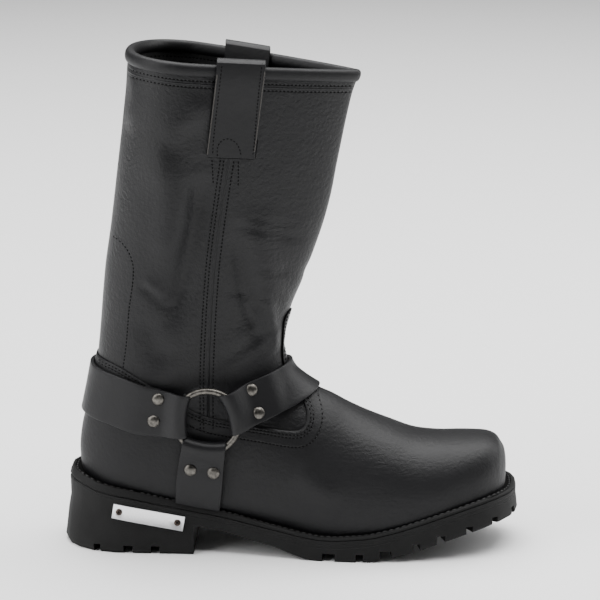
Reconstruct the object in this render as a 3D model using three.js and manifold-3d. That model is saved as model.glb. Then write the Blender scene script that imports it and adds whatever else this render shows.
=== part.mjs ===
// Harness boot for the right foot, in millimetres: +X to the toe, -Y to the outer side, +Z up.
// While it is built, X = 0 is the back of the heel and Z = 0 the floor.
import * as THREE from 'three';
import { mergeVertices } from 'three/addons/utils/BufferGeometryUtils.js';
import Module from 'manifold-3d';

const wasm = await Module();
wasm.setup();

// Upper
const FOOT_LENGTH = 304;
const BALL_WIDTH = 96;
const COLLAR_WIDTH = 118;
const UPPER_HEIGHT = 302;
const LEATHER = 2.8;
const OVERLAY = 1.2;

// Sole unit
const SEAT_HEIGHT = 52;
const LIP_HEIGHT = 2.8;
const LIP_THICKNESS = 3.2;
const EDGE_MARGIN = 7.5;
const ARCH_HEIGHT = 21;
const TOE_SPRING = 23;
const HEEL_LENGTH = 83;
const HEEL_FLARE = 5;
const BALL_FLARE = 1.6;
const LUG_DEPTH = 5.5;
const LUG_REACH = 17;
const CHEVRON_WIDTH = 4;
const LIP_ROUND = 1.6;
const SIDE_GROOVE = 0.8;
const WELT_THICKNESS = 2;
const INSOLE_THICKNESS = 3;

// Straps, rings and rivets
const STRAP_WIDTH = 34.5;
const STRAP_THICKNESS = 3;
const RING_RADIUS = 22;
const RING_WIRE = 4.5;
const RIVET_HEAD = 8.8;
const RIVET_DOME = 1.7;
const RIVET_SHANK = 3;
const RIVET_REACH = 37.3;
const INSTEP_RIVET_REACH = 34.5;
const RIVET_SPREAD = 16.4;
const DOUBLED_FOOT = 22;
const DOUBLED_FACE = 6;
const RAMP_FOOT = 4;
const NOSE_RADIUS = 8;

// Collar and pull straps
const BINDING_HEIGHT = 7.5;
const BINDING_THICKNESS = 1.6;
const BINDING_GAP = 0.45;
const PULL_WIDTH = 32;
const PULL_THICKNESS = 2;
const PULL_LENGTH = 60;
const PULL_RISE = 4;

// Heel plate
const PLATE_LENGTH = 51;
const PLATE_WIDTH = 10.4;
const PLATE_THICKNESS = 1;
const PLATE_SLOPE = 0.17;
const SCREW_HEAD = 4.6;
const SCREW_DOME = 0.8;

// Reach of parts that only cut or join
const OVER_RIM = 10;
const LUG_OVERRUN = 4;

const GAP = 0.3;
const HALF_POINTS = 14;
const RING_STEPS = 20;

// Height of the seat that the upper stands on: x as a share of FOOT_LENGTH, z of SEAT_HEIGHT
const SEAT_ROWS = [
  { x: -0.07, z: 1.02 }, { x: 0.0, z: 0.981 }, { x: 0.059, z: 0.87 }, { x: 0.118, z: 0.81 },
  { x: 0.194, z: 0.712 }, { x: 0.234, z: 0.66 }, { x: 0.349, z: 0.529 }, { x: 0.464, z: 0.377 },
  { x: 0.566, z: 0.268 }, { x: 0.641, z: 0.29 }, { x: 0.694, z: 0.33 }, { x: 0.766, z: 0.442 },
  { x: 0.839, z: 0.571 }, { x: 0.914, z: 0.692 }, { x: 0.97, z: 0.755 }, { x: 1.0, z: 0.765 },
  { x: 1.06, z: 0.76 },
];

// Toe spring of the tread: x as a share of FOOT_LENGTH, z of TOE_SPRING
const SPRING_ROWS = [
  { x: -0.1, z: 0 }, { x: 0.641, z: 0 }, { x: 0.66, z: 0.005 }, { x: 0.697, z: 0.065 },
  { x: 0.75, z: 0.19 }, { x: 0.796, z: 0.36 }, { x: 0.859, z: 0.61 }, { x: 0.914, z: 0.805 },
  { x: 0.974, z: 0.978 }, { x: 1.008, z: 1.02 }, { x: 1.05, z: 1.0 },
];

// Underside of the waist in front of the heel: run as a share of the waist, z of ARCH_HEIGHT
const WAIST_END = 0.543;
const ARCH_ROWS = [
  { run: 0, z: 1 }, { run: 0.13, z: 0.88 }, { run: 0.27, z: 0.79 }, { run: 0.48, z: 0.59 },
  { run: 0.7, z: 0.385 }, { run: 0.87, z: 0.155 }, { run: 1, z: 0 },
];

// Outline of the upper where it meets the sole: x of FOOT_LENGTH, sides of BALL_WIDTH
const OUTLINE_ROWS = [
  { x: 0.002, outer: 0.062, inner: 0.062 },
  { x: 0.01, outer: 0.135, inner: 0.135 },
  { x: 0.028, outer: 0.208, inner: 0.208 },
  { x: 0.056, outer: 0.266, inner: 0.266 },
  { x: 0.092, outer: 0.297, inner: 0.297 },
  { x: 0.148, outer: 0.308, inner: 0.308 },
  { x: 0.214, outer: 0.312, inner: 0.304 },
  { x: 0.28, outer: 0.32, inner: 0.294 },
  { x: 0.349, outer: 0.341, inner: 0.284 },
  { x: 0.411, outer: 0.372, inner: 0.294 },
  { x: 0.477, outer: 0.411, inner: 0.325 },
  { x: 0.566, outer: 0.467, inner: 0.391 },
  { x: 0.641, outer: 0.49, inner: 0.443 },
  { x: 0.694, outer: 0.492, inner: 0.464 },
  { x: 0.766, outer: 0.474, inner: 0.458 },
  { x: 0.832, outer: 0.441, inner: 0.434 },
  { x: 0.891, outer: 0.391, inner: 0.4 },
  { x: 0.934, outer: 0.33, inner: 0.362 },
  { x: 0.964, outer: 0.254, inner: 0.315 },
  { x: 0.984, outer: 0.166, inner: 0.262 },
  { x: 0.995, outer: 0.078, inner: 0.2 },
  { x: 1.0, outer: -0.01, inner: 0.13 },
];

// Side of the sole unit from the tread up: height as a share of tread to lip, out of the flare,
// and groove of SIDE_GROOVE
const SOLE_SIDE_ROWS = [
  { height: 0, out: 0.55, groove: 0 },
  { height: 0.07, out: 0.86, groove: 0 },
  { height: 0.2, out: 0.66, groove: 0 },
  { height: 0.43, out: 0.36, groove: 0 },
  { height: 0.62, out: 0, groove: 0 },
  { height: 0.86, out: 0.05, groove: 0 },
  { height: 0.88, out: 0.05, groove: -1 },
  { height: 0.9, out: 0.05, groove: 0 },
  { height: 0.96, out: 0, groove: -0.5 },
];

// Sections of the last, fanned from the toe round the heel: the low end and the high end of each
// section by x of FOOT_LENGTH and h above the seat of UPPER_HEIGHT, sides and ridge of BALL_WIDTH,
// the widest place as a share from the low end, and how square each end is (2 is an ellipse)
const SECTION_COLUMNS = [
  'x', 'h', 'topX', 'topH', 'outer', 'inner', 'ridge', 'widest', 'low', 'high',
];
const FOOT_ROWS = [
  [0.996, 0.021, 0.996, 0.071, 0.031, 0.146, 0.057, 0.5, 2.4, 2.4],
  [0.993, -0.006, 0.993, 0.086, 0.104, 0.219, 0.057, 0.45, 2.6, 2.5],
  [0.986, -0.022, 0.986, 0.098, 0.161, 0.271, 0.054, 0.42, 2.8, 2.6],
  [0.975, -0.032, 0.976, 0.112, 0.219, 0.318, 0.05, 0.4, 3, 2.7],
  [0.954, -0.039, 0.957, 0.123, 0.292, 0.359, 0.042, 0.38, 3.1, 2.7],
  [0.928, -0.042, 0.929, 0.131, 0.355, 0.392, 0.031, 0.37, 3.2, 2.6],
  [0.888, -0.042, 0.891, 0.141, 0.413, 0.425, 0.021, 0.37, 3.2, 2.5],
  [0.839, -0.044, 0.842, 0.155, 0.46, 0.456, 0.01, 0.36, 3.2, 2.4],
  [0.78, -0.044, 0.783, 0.181, 0.494, 0.478, 0.005, 0.35, 3.2, 2.3],
  [0.72, -0.044, 0.727, 0.219, 0.511, 0.482, 0, 0.35, 3.2, 2.2],
  [0.661, -0.043, 0.674, 0.253, 0.508, 0.466, 0, 0.35, 3.2, 2.1],
  [0.602, -0.043, 0.628, 0.281, 0.493, 0.43, 0, 0.35, 3.2, 2],
  [0.543, -0.043, 0.589, 0.306, 0.472, 0.396, 0, 0.36, 3, 2],
  [0.484, -0.038, 0.556, 0.32, 0.446, 0.375, 0, 0.38, 3, 2],
  [0.359, -0.039, 0.505, 0.347, 0.41, 0.365, 0, 0.42, 3, 2],
  [0.28, -0.04, 0.488, 0.367, 0.4, 0.37, 0, 0.44, 3, 2],
  [0.109, -0.042, 0.477, 0.409, 0.383, 0.37, 0, 0.45, 3, 2],
  [0.043, -0.029, 0.478, 0.428, 0.38, 0.37, 0, 0.44, 2.8, 2],
  [0.012, 0.001, 0.48, 0.445, 0.375, 0.367, 0, 0.43, 2.5, 2],
  [0.004, 0.049, 0.484, 0.464, 0.375, 0.367, 0, 0.42, 2.4, 2],
  [0.008, 0.102, 0.49, 0.486, 0.375, 0.368, 0, 0.41, 2.3, 1.9],
  [0.02, 0.162, 0.498, 0.514, 0.38, 0.373, 0, 0.4, 2.3, 1.9],
  [0.034, 0.233, 0.51, 0.546, 0.385, 0.378, 0, 0.39, 2.2, 1.8],
];

// Sections of the shaft from the ankle to the collar, with the sides of COLLAR_WIDTH
const SHAFT_ROWS = [
  [0.047, 0.31, 0.525, 0.584, 0.326, 0.32, 0, 0.38, 2.2, 1.7],
  [0.067, 0.514, 0.567, 0.709, 0.377, 0.373, 0, 0.34, 2.2, 1.5],
  [0.082, 0.616, 0.587, 0.784, 0.405, 0.401, 0, 0.32, 2.2, 1.4],
  [0.096, 0.724, 0.602, 0.863, 0.432, 0.428, 0, 0.3, 2.2, 1.35],
  [0.121, 0.926, 0.633, 1.01, 0.481, 0.48, 0, 0.27, 2.2, 1.25],
  [0.13, 1.029, 0.651, 1.062, 0.5, 0.5, 0, 0.25, 2.2, 1.2],
];

// Edge of the vamp from the side seam over the instep, and its tongue up the front of the ankle
const VAMP_ROWS = [
  { x: 0.318, h: 0.227 }, { x: 0.355, h: 0.228 }, { x: 0.432, h: 0.233 }, { x: 0.493, h: 0.236 },
  { x: 0.525, h: 0.245 }, { x: 0.537, h: 0.275 }, { x: 0.52, h: 0.31 }, { x: 0.49, h: 0.355 },
  { x: 0.477, h: 0.374 }, { x: 0.474, h: 0.43 }, { x: 0.48, h: 0.481 }, { x: 0.492, h: 0.502 },
];

// Top edge of the counter from the back to the side seam
const COUNTER_ROWS = [
  { x: 0.0, h: 0.3 }, { x: 0.043, h: 0.302 }, { x: 0.1, h: 0.302 }, { x: 0.161, h: 0.283 },
  { x: 0.268, h: 0.239 }, { x: 0.309, h: 0.231 },
];

// Centre lines of the straps from the far end to the ring, with width of STRAP_WIDTH
const BACK_STRAP_ROWS = [
  { x: -0.09, h: 0.195, width: 1 }, { x: 0.023, h: 0.206, width: 1 },
  { x: 0.08, h: 0.222, width: 1.02 }, { x: 0.171, h: 0.2185, width: 1 },
];
const INSTEP_STRAP_ROWS = [
  { x: 0.62, h: 0.414, width: 0.78 }, { x: 0.526, h: 0.357, width: 0.78 },
  { x: 0.498, h: 0.336, width: 0.8 }, { x: 0.42, h: 0.289, width: 0.84 },
];
const UNDER_STRAP_ROWS = [
  { x: 0.276, h: -0.04, width: 0.88 }, { x: 0.284, h: 0.034, width: 0.88 },
  { x: 0.29, h: 0.1, width: 0.87 },
];
const STRAP_END_WIDTH = 0.86;
const BACK_STRAP_ANGLE = 168;
const INSTEP_STRAP_ANGLE = 19;
const UNDER_STRAP_ANGLE = 264;
const RING_PLACE = { x: 0.309, h: 0.227 };

// Middle of the heel plate: x as a share of FOOT_LENGTH, height of the seat above it
const PLATE_PLACE = { x: 0.168, height: 0.671 };

// Cuts between the lugs: x as a share of FOOT_LENGTH, width in millimetres
const LUG_ROWS = [
  { x: 0.06, width: 5 }, { x: 0.122, width: 6.5 }, { x: 0.184, width: 6 }, { x: 0.589, width: 9 },
  { x: 0.658, width: 5 }, { x: 0.716, width: 8 }, { x: 0.785, width: 5 }, { x: 0.839, width: 6 },
  { x: 0.901, width: 5 }, { x: 0.953, width: 5 }, { x: 0.99, width: 5 },
];
const TREAD_CHEVRONS = [0.07, 0.135, 0.2, 0.62, 0.688, 0.75, 0.812, 0.87];
const CHEVRON_ARM = 0.2;
const CHEVRON_MIDDLE = 0.124;
const CHEVRON_TURN = 2.05;
const CHEVRON_DEPTH = 0.8;
const OUTLINE_PROBE = 0.004;

const BLACK_LEATHER = { color: 0x1b1b1d, roughness: 0.48, metalness: 0 };
const STRAP_LEATHER = { color: 0x1d1d1f, roughness: 0.52, metalness: 0 };
const BLACK_RUBBER = { color: 0x202022, roughness: 0.72, metalness: 0 };
const INSOLE_LEATHER = { color: 0x3a3028, roughness: 0.8, metalness: 0 };
const DARK_NICKEL = { color: 0x8c8578, roughness: 0.3, metalness: 1 };
const SATIN_ALUMINIUM = { color: 0xc8c9cb, roughness: 0.35, metalness: 1 };

// Curves through tables
function smoothAt(rows, key, position, column) {
  const last = rows.length - 1;
  const clamped = Math.min(Math.max(position, rows[0][key]), rows[last][key]);
  let i = 0;
  while (i < last - 1 && rows[i + 1][key] < clamped) i += 1;
  const slope = (a, b) => (rows[b][column] - rows[a][column]) / (rows[b][key] - rows[a][key]);
  const span = rows[i + 1][key] - rows[i][key];
  const t = (clamped - rows[i][key]) / span;
  const before = slope(Math.max(i - 1, 0), i + 1) * span;
  const after = slope(i, Math.min(i + 2, last)) * span;
  const bend = (2 * t ** 3 - 3 * t ** 2 + 1) * rows[i][column] + (t ** 3 - 2 * t ** 2 + t) * before;
  return bend + (3 * t ** 2 - 2 * t ** 3) * rows[i + 1][column] + (t ** 3 - t ** 2) * after;
}

const seat = (x) => smoothAt(SEAT_ROWS, 'x', x / FOOT_LENGTH, 'z') * SEAT_HEIGHT;
const tread = (x) => smoothAt(SPRING_ROWS, 'x', x / FOOT_LENGTH, 'z') * TOE_SPRING;
const sidePoint = (xShare, hShare) => {
  const x = xShare * FOOT_LENGTH;
  return new THREE.Vector2(x, seat(x) + hShare * UPPER_HEIGHT);
};

// Solids
function solid(geometry) {
  const bare = geometry.clone();
  bare.deleteAttribute('normal');
  bare.deleteAttribute('uv');
  const merged = mergeVertices(bare, 1e-4);
  return new wasm.Manifold(new wasm.Mesh({
    numProp: 3,
    vertProperties: Float32Array.from(merged.attributes.position.array),
    triVerts: Uint32Array.from(merged.index.array),
  }));
}

function geometryOf(body) {
  const mesh = body.getMesh();
  const geometry = new THREE.BufferGeometry();
  geometry.setAttribute('position', new THREE.BufferAttribute(mesh.vertProperties, 3));
  geometry.setIndex(new THREE.BufferAttribute(mesh.triVerts, 1));
  return geometry;
}

function meshGeometry(points, triangles) {
  const geometry = new THREE.BufferGeometry();
  const numbers = points.flatMap((p) => [p.x, p.y, p.z]);
  geometry.setAttribute('position', new THREE.Float32BufferAttribute(numbers, 3));
  geometry.setIndex(triangles.flat());
  return geometry;
}

// A side-view outline carried through the boot from the outer to the inner side
function sidePrism(points, from, to) {
  const shape = new THREE.Shape(points);
  const geometry = new THREE.ExtrudeGeometry(shape, { depth: to - from, bevelEnabled: false });
  geometry.rotateX(Math.PI / 2);
  geometry.translate(0, to, 0);
  return solid(geometry);
}

// Rings of points closed into a body; the first and the last ring are capped
function loft(rings) {
  const count = rings[0].length;
  const points = rings.flat();
  const triangles = [];
  for (let r = 0; r < rings.length - 1; r += 1) {
    for (let k = 0; k < count; k += 1) {
      const next = (k + 1) % count;
      const [a, b] = [r * count + k, r * count + next];
      triangles.push([a, b, b + count], [a, b + count, a + count]);
    }
  }
  for (const [ring, turned] of [[0, true], [rings.length - 1, false]]) {
    const centre = new THREE.Vector3();
    rings[ring].forEach((p) => centre.addScaledVector(p, 1 / count));
    points.push(centre);
    for (let k = 0; k < count; k += 1) {
      const [a, b] = [ring * count + k, ring * count + (k + 1) % count];
      triangles.push(turned ? [b, a, points.length - 1] : [a, b, points.length - 1]);
    }
  }
  return meshGeometry(points, triangles);
}

// Half a section of the last from its low end to its high end, at even steps of arc length
function halfSection(row, side, sideWidth) {
  const steps = 120;
  const path = [];
  for (let i = 0; i <= steps; i += 1) {
    const angle = (Math.PI * i) / steps;
    const lower = angle <= Math.PI / 2;
    const power = 2 / (lower ? row.low : row.high);
    const along = Math.abs(Math.cos(angle)) ** power;
    const share = lower ? row.widest * (1 - along) : row.widest + (1 - row.widest) * along;
    const out = Math.abs(Math.sin(angle)) ** power * sideWidth;
    path.push(new THREE.Vector3(
      THREE.MathUtils.lerp(row.lowEnd.x, row.highEnd.x, share),
      row.ridgeY + side * out,
      THREE.MathUtils.lerp(row.lowEnd.y, row.highEnd.y, share),
    ));
  }
  const lengths = [0];
  for (let i = 1; i <= steps; i += 1) lengths.push(lengths[i - 1] + path[i].distanceTo(path[i - 1]));
  const result = [];
  let i = 0;
  for (let k = 0; k <= HALF_POINTS; k += 1) {
    const wanted = (lengths[steps] * k) / HALF_POINTS;
    while (i < steps - 1 && lengths[i + 1] < wanted) i += 1;
    const share = (wanted - lengths[i]) / (lengths[i + 1] - lengths[i]);
    result.push(path[i].clone().lerp(path[i + 1], share));
  }
  return result;
}

function sectionRing(row) {
  const outer = halfSection(row, -1, row.outerWidth + row.ridgeY);
  const inner = halfSection(row, 1, row.innerWidth - row.ridgeY);
  return [...outer, ...inner.slice(1, -1).reverse()];
}

function sizedRow(values, width) {
  const row = Object.fromEntries(SECTION_COLUMNS.map((column, i) => [column, values[i]]));
  return {
    ...row,
    lowEnd: sidePoint(row.x, row.h),
    highEnd: sidePoint(row.topX, row.topH),
    outerWidth: row.outer * width,
    innerWidth: row.inner * width,
    ridgeY: row.ridge * width,
  };
}

const FORM_RINGS = [
  ...FOOT_ROWS.map((row) => sizedRow(row, BALL_WIDTH)),
  ...SHAFT_ROWS.map((row) => sizedRow(row, COLLAR_WIDTH)),
].map(sectionRing);

function normalAt(ring, k) {
  const count = FORM_RINGS[0].length;
  const own = FORM_RINGS[ring];
  const around = own[(k + 1) % count].clone().sub(own[(k + count - 1) % count]);
  const last = FORM_RINGS.length - 1;
  const [after, before] = [FORM_RINGS[Math.min(ring + 1, last)], FORM_RINGS[Math.max(ring - 1, 0)]];
  const along = after[k].clone().sub(before[k]);
  return around.cross(along).normalize();
}

const FORM_NORMALS = FORM_RINGS.map((ring, r) => ring.map((p, k) => normalAt(r, k)));

// The last grown by an offset, and carried past the collar by a rise
function form(offset, rise = 0) {
  const rings = FORM_RINGS.map((ring, r) => ring.map((p, k) => (
    p.clone().addScaledVector(FORM_NORMALS[r][k], offset)
  )));
  if (rise > 0) {
    const [before, top] = rings.slice(-2);
    rings.push(top.map((p, k) => p.clone().addScaledVector(p.clone().sub(before[k]).normalize(), rise)));
  }
  return loft(rings);
}

// Everything under the seat, raised by a clearance
function underSeat(clearance) {
  const points = [new THREE.Vector2(-0.3 * FOOT_LENGTH, -SEAT_HEIGHT)];
  for (let share = -0.3; share <= 1.3; share += 0.02) {
    const x = share * FOOT_LENGTH;
    points.push(new THREE.Vector2(x, seat(x) + clearance));
  }
  points.push(new THREE.Vector2(1.3 * FOOT_LENGTH, -SEAT_HEIGHT));
  return sidePrism(points, -BALL_WIDTH, BALL_WIDTH);
}

// Sole outlines
const LONGEST_STEP = 0.045;
const OUTLINE_X = OUTLINE_ROWS.flatMap(({ x }, i) => {
  const next = OUTLINE_ROWS[i + 1]?.x ?? x;
  return next - x > LONGEST_STEP ? [x, (x + next) / 2] : [x];
});
const outlineSide = (column, sign) => OUTLINE_X.map((x) => (
  new THREE.Vector2(x * FOOT_LENGTH, sign * smoothAt(OUTLINE_ROWS, 'x', x, column) * BALL_WIDTH)
));
const OUTLINE = [...outlineSide('outer', -1), ...outlineSide('inner', 1).reverse()];

function grownOutline(grow) {
  const count = OUTLINE.length;
  return OUTLINE.map((p, k) => {
    const along = OUTLINE[(k + 1) % count].clone().sub(OUTLINE[(k + count - 1) % count]).normalize();
    const amount = grow(p.x);
    return new THREE.Vector2(p.x + along.y * amount, p.y - along.x * amount);
  });
}

// A body between outlines at growing levels, closed across by strips between its two sides
function slab(levels) {
  const count = OUTLINE.length;
  const half = count / 2;
  const points = levels.flatMap((level) => grownOutline(level.grow)
    .map((p) => new THREE.Vector3(p.x, p.y, level.z(p.x))));
  const triangles = [];
  for (let l = 0; l < levels.length - 1; l += 1) {
    for (let k = 0; k < count; k += 1) {
      const [a, b] = [l * count + k, l * count + (k + 1) % count];
      triangles.push([a, b, b + count], [a, b + count, a + count]);
    }
  }
  const top = (levels.length - 1) * count;
  for (let k = 0; k < half - 1; k += 1) {
    const across = count - 1 - k;
    triangles.push([k, across, across - 1], [k, across - 1, k + 1]);
    triangles.push([top + k, top + across - 1, top + across], [top + k, top + k + 1, top + across - 1]);
  }
  return meshGeometry(points, triangles);
}

const lip = (x) => seat(x) + LIP_HEIGHT;
const flare = (x) => {
  const forward = THREE.MathUtils.smoothstep(x / FOOT_LENGTH, 0.28, 0.5);
  return THREE.MathUtils.lerp(HEEL_FLARE, BALL_FLARE, forward);
};

// The sole unit before its arch and lugs are cut, with its sides moved out by extra
function soleBlank(extra) {
  const side = SOLE_SIDE_ROWS.map((row) => ({
    z: (x) => THREE.MathUtils.lerp(tread(x), lip(x), row.height),
    grow: (x) => EDGE_MARGIN + extra + row.out * flare(x) + row.groove * SIDE_GROOVE,
  }));
  const crest = EDGE_MARGIN + extra - LIP_ROUND;
  const inside = EDGE_MARGIN - LIP_THICKNESS;
  return slab([
    ...side,
    { z: lip, grow: () => crest },
    { z: lip, grow: () => inside },
    { z: seat, grow: () => inside },
  ]);
}

function archCut() {
  const waist = WAIST_END * FOOT_LENGTH - HEEL_LENGTH;
  const points = ARCH_ROWS.map((row) => (
    new THREE.Vector2(HEEL_LENGTH + row.run * waist, row.z * ARCH_HEIGHT)
  ));
  points.push(new THREE.Vector2(HEEL_LENGTH + waist * 1.05, -LUG_DEPTH));
  points.push(new THREE.Vector2(HEEL_LENGTH, -LUG_DEPTH));
  return sidePrism(points, -BALL_WIDTH, BALL_WIDTH);
}

function bar(length, width, height, centre, turn) {
  const geometry = new THREE.BoxGeometry(length, width, height);
  geometry.rotateZ(turn);
  geometry.translate(centre.x, centre.y, centre.z);
  return solid(geometry);
}

// One cut between two lugs, square to the edge of the tread
function lugCut(share, sideRow, width) {
  const x = share * FOOT_LENGTH;
  const edge = smoothAt(OUTLINE_ROWS, 'x', share, sideRow) * BALL_WIDTH;
  const ahead = smoothAt(OUTLINE_ROWS, 'x', share + OUTLINE_PROBE, sideRow) * BALL_WIDTH;
  const sign = sideRow === 'outer' ? -1 : 1;
  const outward = new THREE.Vector2(edge - ahead, sign * OUTLINE_PROBE * FOOT_LENGTH).normalize();
  const reach = LUG_REACH + EDGE_MARGIN + HEEL_FLARE;
  const shift = EDGE_MARGIN + HEEL_FLARE - reach / 2 + LUG_OVERRUN;
  const centre = new THREE.Vector3(
    x + outward.x * shift,
    sign * edge + outward.y * shift,
    tread(x),
  );
  return bar(reach + 2 * LUG_OVERRUN, width, 2 * LUG_DEPTH, centre, Math.atan2(outward.y, outward.x));
}

function chevronCut(share, sign) {
  const x = share * FOOT_LENGTH;
  const centre = new THREE.Vector3(x, sign * CHEVRON_MIDDLE * BALL_WIDTH, tread(x));
  const height = 2 * CHEVRON_DEPTH * LUG_DEPTH;
  return bar(CHEVRON_ARM * BALL_WIDTH, CHEVRON_WIDTH, height, centre, sign * CHEVRON_TURN);
}

function outsole() {
  let body = solid(soleBlank(0)).subtract(archCut());
  for (const row of LUG_ROWS) {
    body = body.subtract(lugCut(row.x, 'outer', row.width));
    body = body.subtract(lugCut(row.x, 'inner', row.width));
  }
  for (const share of TREAD_CHEVRONS) {
    body = body.subtract(chevronCut(share, -1)).subtract(chevronCut(share, 1));
  }
  return body;
}

function welt() {
  const edge = EDGE_MARGIN - LIP_THICKNESS - GAP;
  const body = slab([
    { z: (x) => seat(x) + GAP, grow: () => edge },
    { z: (x) => seat(x) + GAP + WELT_THICKNESS, grow: () => edge },
  ]);
  return solid(body).subtract(solid(form(OVERLAY + GAP)));
}

function insole() {
  const body = slab([
    { z: (x) => seat(x) + GAP, grow: () => 0 },
    { z: (x) => seat(x) + GAP + INSOLE_THICKNESS, grow: () => 0 },
  ]);
  return solid(body).intersect(solid(form(-LEATHER - GAP)));
}

// Upper: one hollow wall, with vamp and counter as steps in it
function splineRows(rows, count) {
  return new THREE.SplineCurve(rows.map((row) => sidePoint(row.x, row.h))).getPoints(count);
}

function overlays() {
  const vampEdge = splineRows(VAMP_ROWS, 22);
  const vamp = sidePrism([
    ...vampEdge,
    sidePoint(0.6, 0.52), sidePoint(1.1, 0.3), sidePoint(1.1, -0.1), sidePoint(VAMP_ROWS[0].x, -0.1),
  ], -BALL_WIDTH, BALL_WIDTH);
  const counterEdge = splineRows(COUNTER_ROWS, 8);
  const counter = sidePrism([
    ...counterEdge,
    sidePoint(COUNTER_ROWS.at(-1).x, -0.1), sidePoint(-0.1, -0.1), sidePoint(-0.1, 0.3),
  ], -BALL_WIDTH, BALL_WIDTH);
  return vamp.add(counter);
}

function upper() {
  const raised = solid(form(OVERLAY)).intersect(overlays());
  const shell = solid(form(0)).add(raised).subtract(solid(form(-LEATHER, OVER_RIM)));
  return shell.subtract(underSeat(GAP));
}

// The rolled binding, a channel round the rim
function collarBinding() {
  const rim = FORM_RINGS.length - 1;
  const below = BINDING_HEIGHT - BINDING_THICKNESS;
  const proud = BINDING_GAP + BINDING_THICKNESS;
  const section = [
    { down: below, out: proud * 0.8 }, { down: 1, out: proud }, { down: -proud, out: proud * 0.5 },
    { down: -proud, out: -LEATHER - proud * 0.5 }, { down: 1, out: -LEATHER - proud },
    { down: below, out: -LEATHER - proud * 0.8 }, { down: below, out: -LEATHER - BINDING_GAP },
    { down: -GAP, out: -LEATHER - BINDING_GAP }, { down: -GAP, out: BINDING_GAP },
    { down: below, out: BINDING_GAP },
  ];
  const rings = FORM_RINGS[rim].map((p, k) => {
    const up = p.clone().sub(FORM_RINGS[rim - 1][k]).normalize();
    return section.map((s) => p.clone()
      .addScaledVector(up, -s.down)
      .addScaledVector(FORM_NORMALS[rim][k], s.out));
  });
  const count = section.length;
  const triangles = [];
  rings.forEach((ring, r) => {
    const next = ((r + 1) % rings.length) * count;
    for (let k = 0; k < count; k += 1) {
      const other = (k + 1) % count;
      const [a, b] = [r * count + k, r * count + other];
      triangles.push([a, next + k, next + other], [a, next + other, b]);
    }
  });
  return meshGeometry(rings.flat(), triangles);
}

// Places on the outside or inside of the wall, found from the side
const outerWall = new THREE.Mesh(form(0), new THREE.MeshBasicMaterial({ side: THREE.DoubleSide }));
const innerWall = new THREE.Mesh(form(-LEATHER, OVER_RIM), outerWall.material);
function hit(mesh, x, z, side, outside = true) {
  const from = new THREE.Vector3(x, outside ? side * 3 * BALL_WIDTH : 0, z);
  const to = new THREE.Vector3(0, outside ? -side : side, 0);
  const found = new THREE.Raycaster(from, to).intersectObject(mesh)[0];
  return { point: found.point, normal: found.face.normal };
}

// Rings, straps and rivets
const ringCentre = sidePoint(RING_PLACE.x, RING_PLACE.h);
const STRAP_BED = OVERLAY + GAP;
const wireRadius = RING_WIRE / 2;
const foldRadius = wireRadius + GAP + STRAP_THICKNESS;
const degrees = THREE.MathUtils.degToRad;

function polar(radius, angle) {
  return new THREE.Vector2(
    ringCentre.x + radius * Math.cos(degrees(angle)),
    ringCentre.y + radius * Math.sin(degrees(angle)),
  );
}

function ringDepth(side) {
  let widest = 0;
  for (let angle = 0; angle < 360; angle += 15) {
    const place = polar(RING_RADIUS + foldRadius, angle);
    widest = Math.max(widest, Math.abs(hit(outerWall, place.x, place.y, side).point.y));
  }
  return side * (widest + STRAP_BED + foldRadius);
}

const RING_Y = new Map([[-1, ringDepth(-1)], [1, ringDepth(1)]]);

function torus(tube, y, sides, steps) {
  const geometry = new THREE.TorusGeometry(RING_RADIUS, tube, sides, steps);
  geometry.rotateX(Math.PI / 2);
  geometry.translate(ringCentre.x, y, ringCentre.y);
  return geometry;
}

// A disc round the ring centre along Y, wide at the boot and narrower at its outer face
function discAcross(wide, narrow, side, face) {
  const [top, bottom] = side > 0 ? [narrow, wide] : [wide, narrow];
  const geometry = new THREE.CylinderGeometry(top, bottom, Math.abs(face), 14);
  geometry.translate(ringCentre.x, face / 2, ringCentre.y);
  return solid(geometry);
}

function strapOutline(rows, angle) {
  const half = (STRAP_END_WIDTH * STRAP_WIDTH) / 2;
  const spread = THREE.MathUtils.radToDeg(Math.asin(half / RING_RADIUS));
  const line = rows.map((row) => ({ at: sidePoint(row.x, row.h), half: (row.width * STRAP_WIDTH) / 2 }));
  line.push({ at: polar(RING_RADIUS + foldRadius, angle), half });
  const left = [];
  const right = [];
  line.forEach((point, i) => {
    const before = line[Math.max(i - 1, 0)].at;
    const after = line[Math.min(i + 1, line.length - 1)].at;
    const across = after.clone().sub(before).normalize().rotateAround(new THREE.Vector2(), Math.PI / 2);
    left.push(point.at.clone().addScaledVector(across, point.half));
    right.push(point.at.clone().addScaledVector(across, -point.half));
  });
  const [noseLeft, noseRight] = [angle - spread, angle + spread].map((turn) => polar(RING_RADIUS, turn));
  return [...left, noseLeft, polar(NOSE_RADIUS, angle), noseRight, ...right.reverse()];
}

const strapShell = solid(form(STRAP_BED + STRAP_THICKNESS)).subtract(solid(form(STRAP_BED)));
const doubledShell = solid(form(STRAP_BED + 2 * STRAP_THICKNESS)).subtract(solid(form(STRAP_BED)));
const strapBed = solid(form(STRAP_BED));

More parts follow.
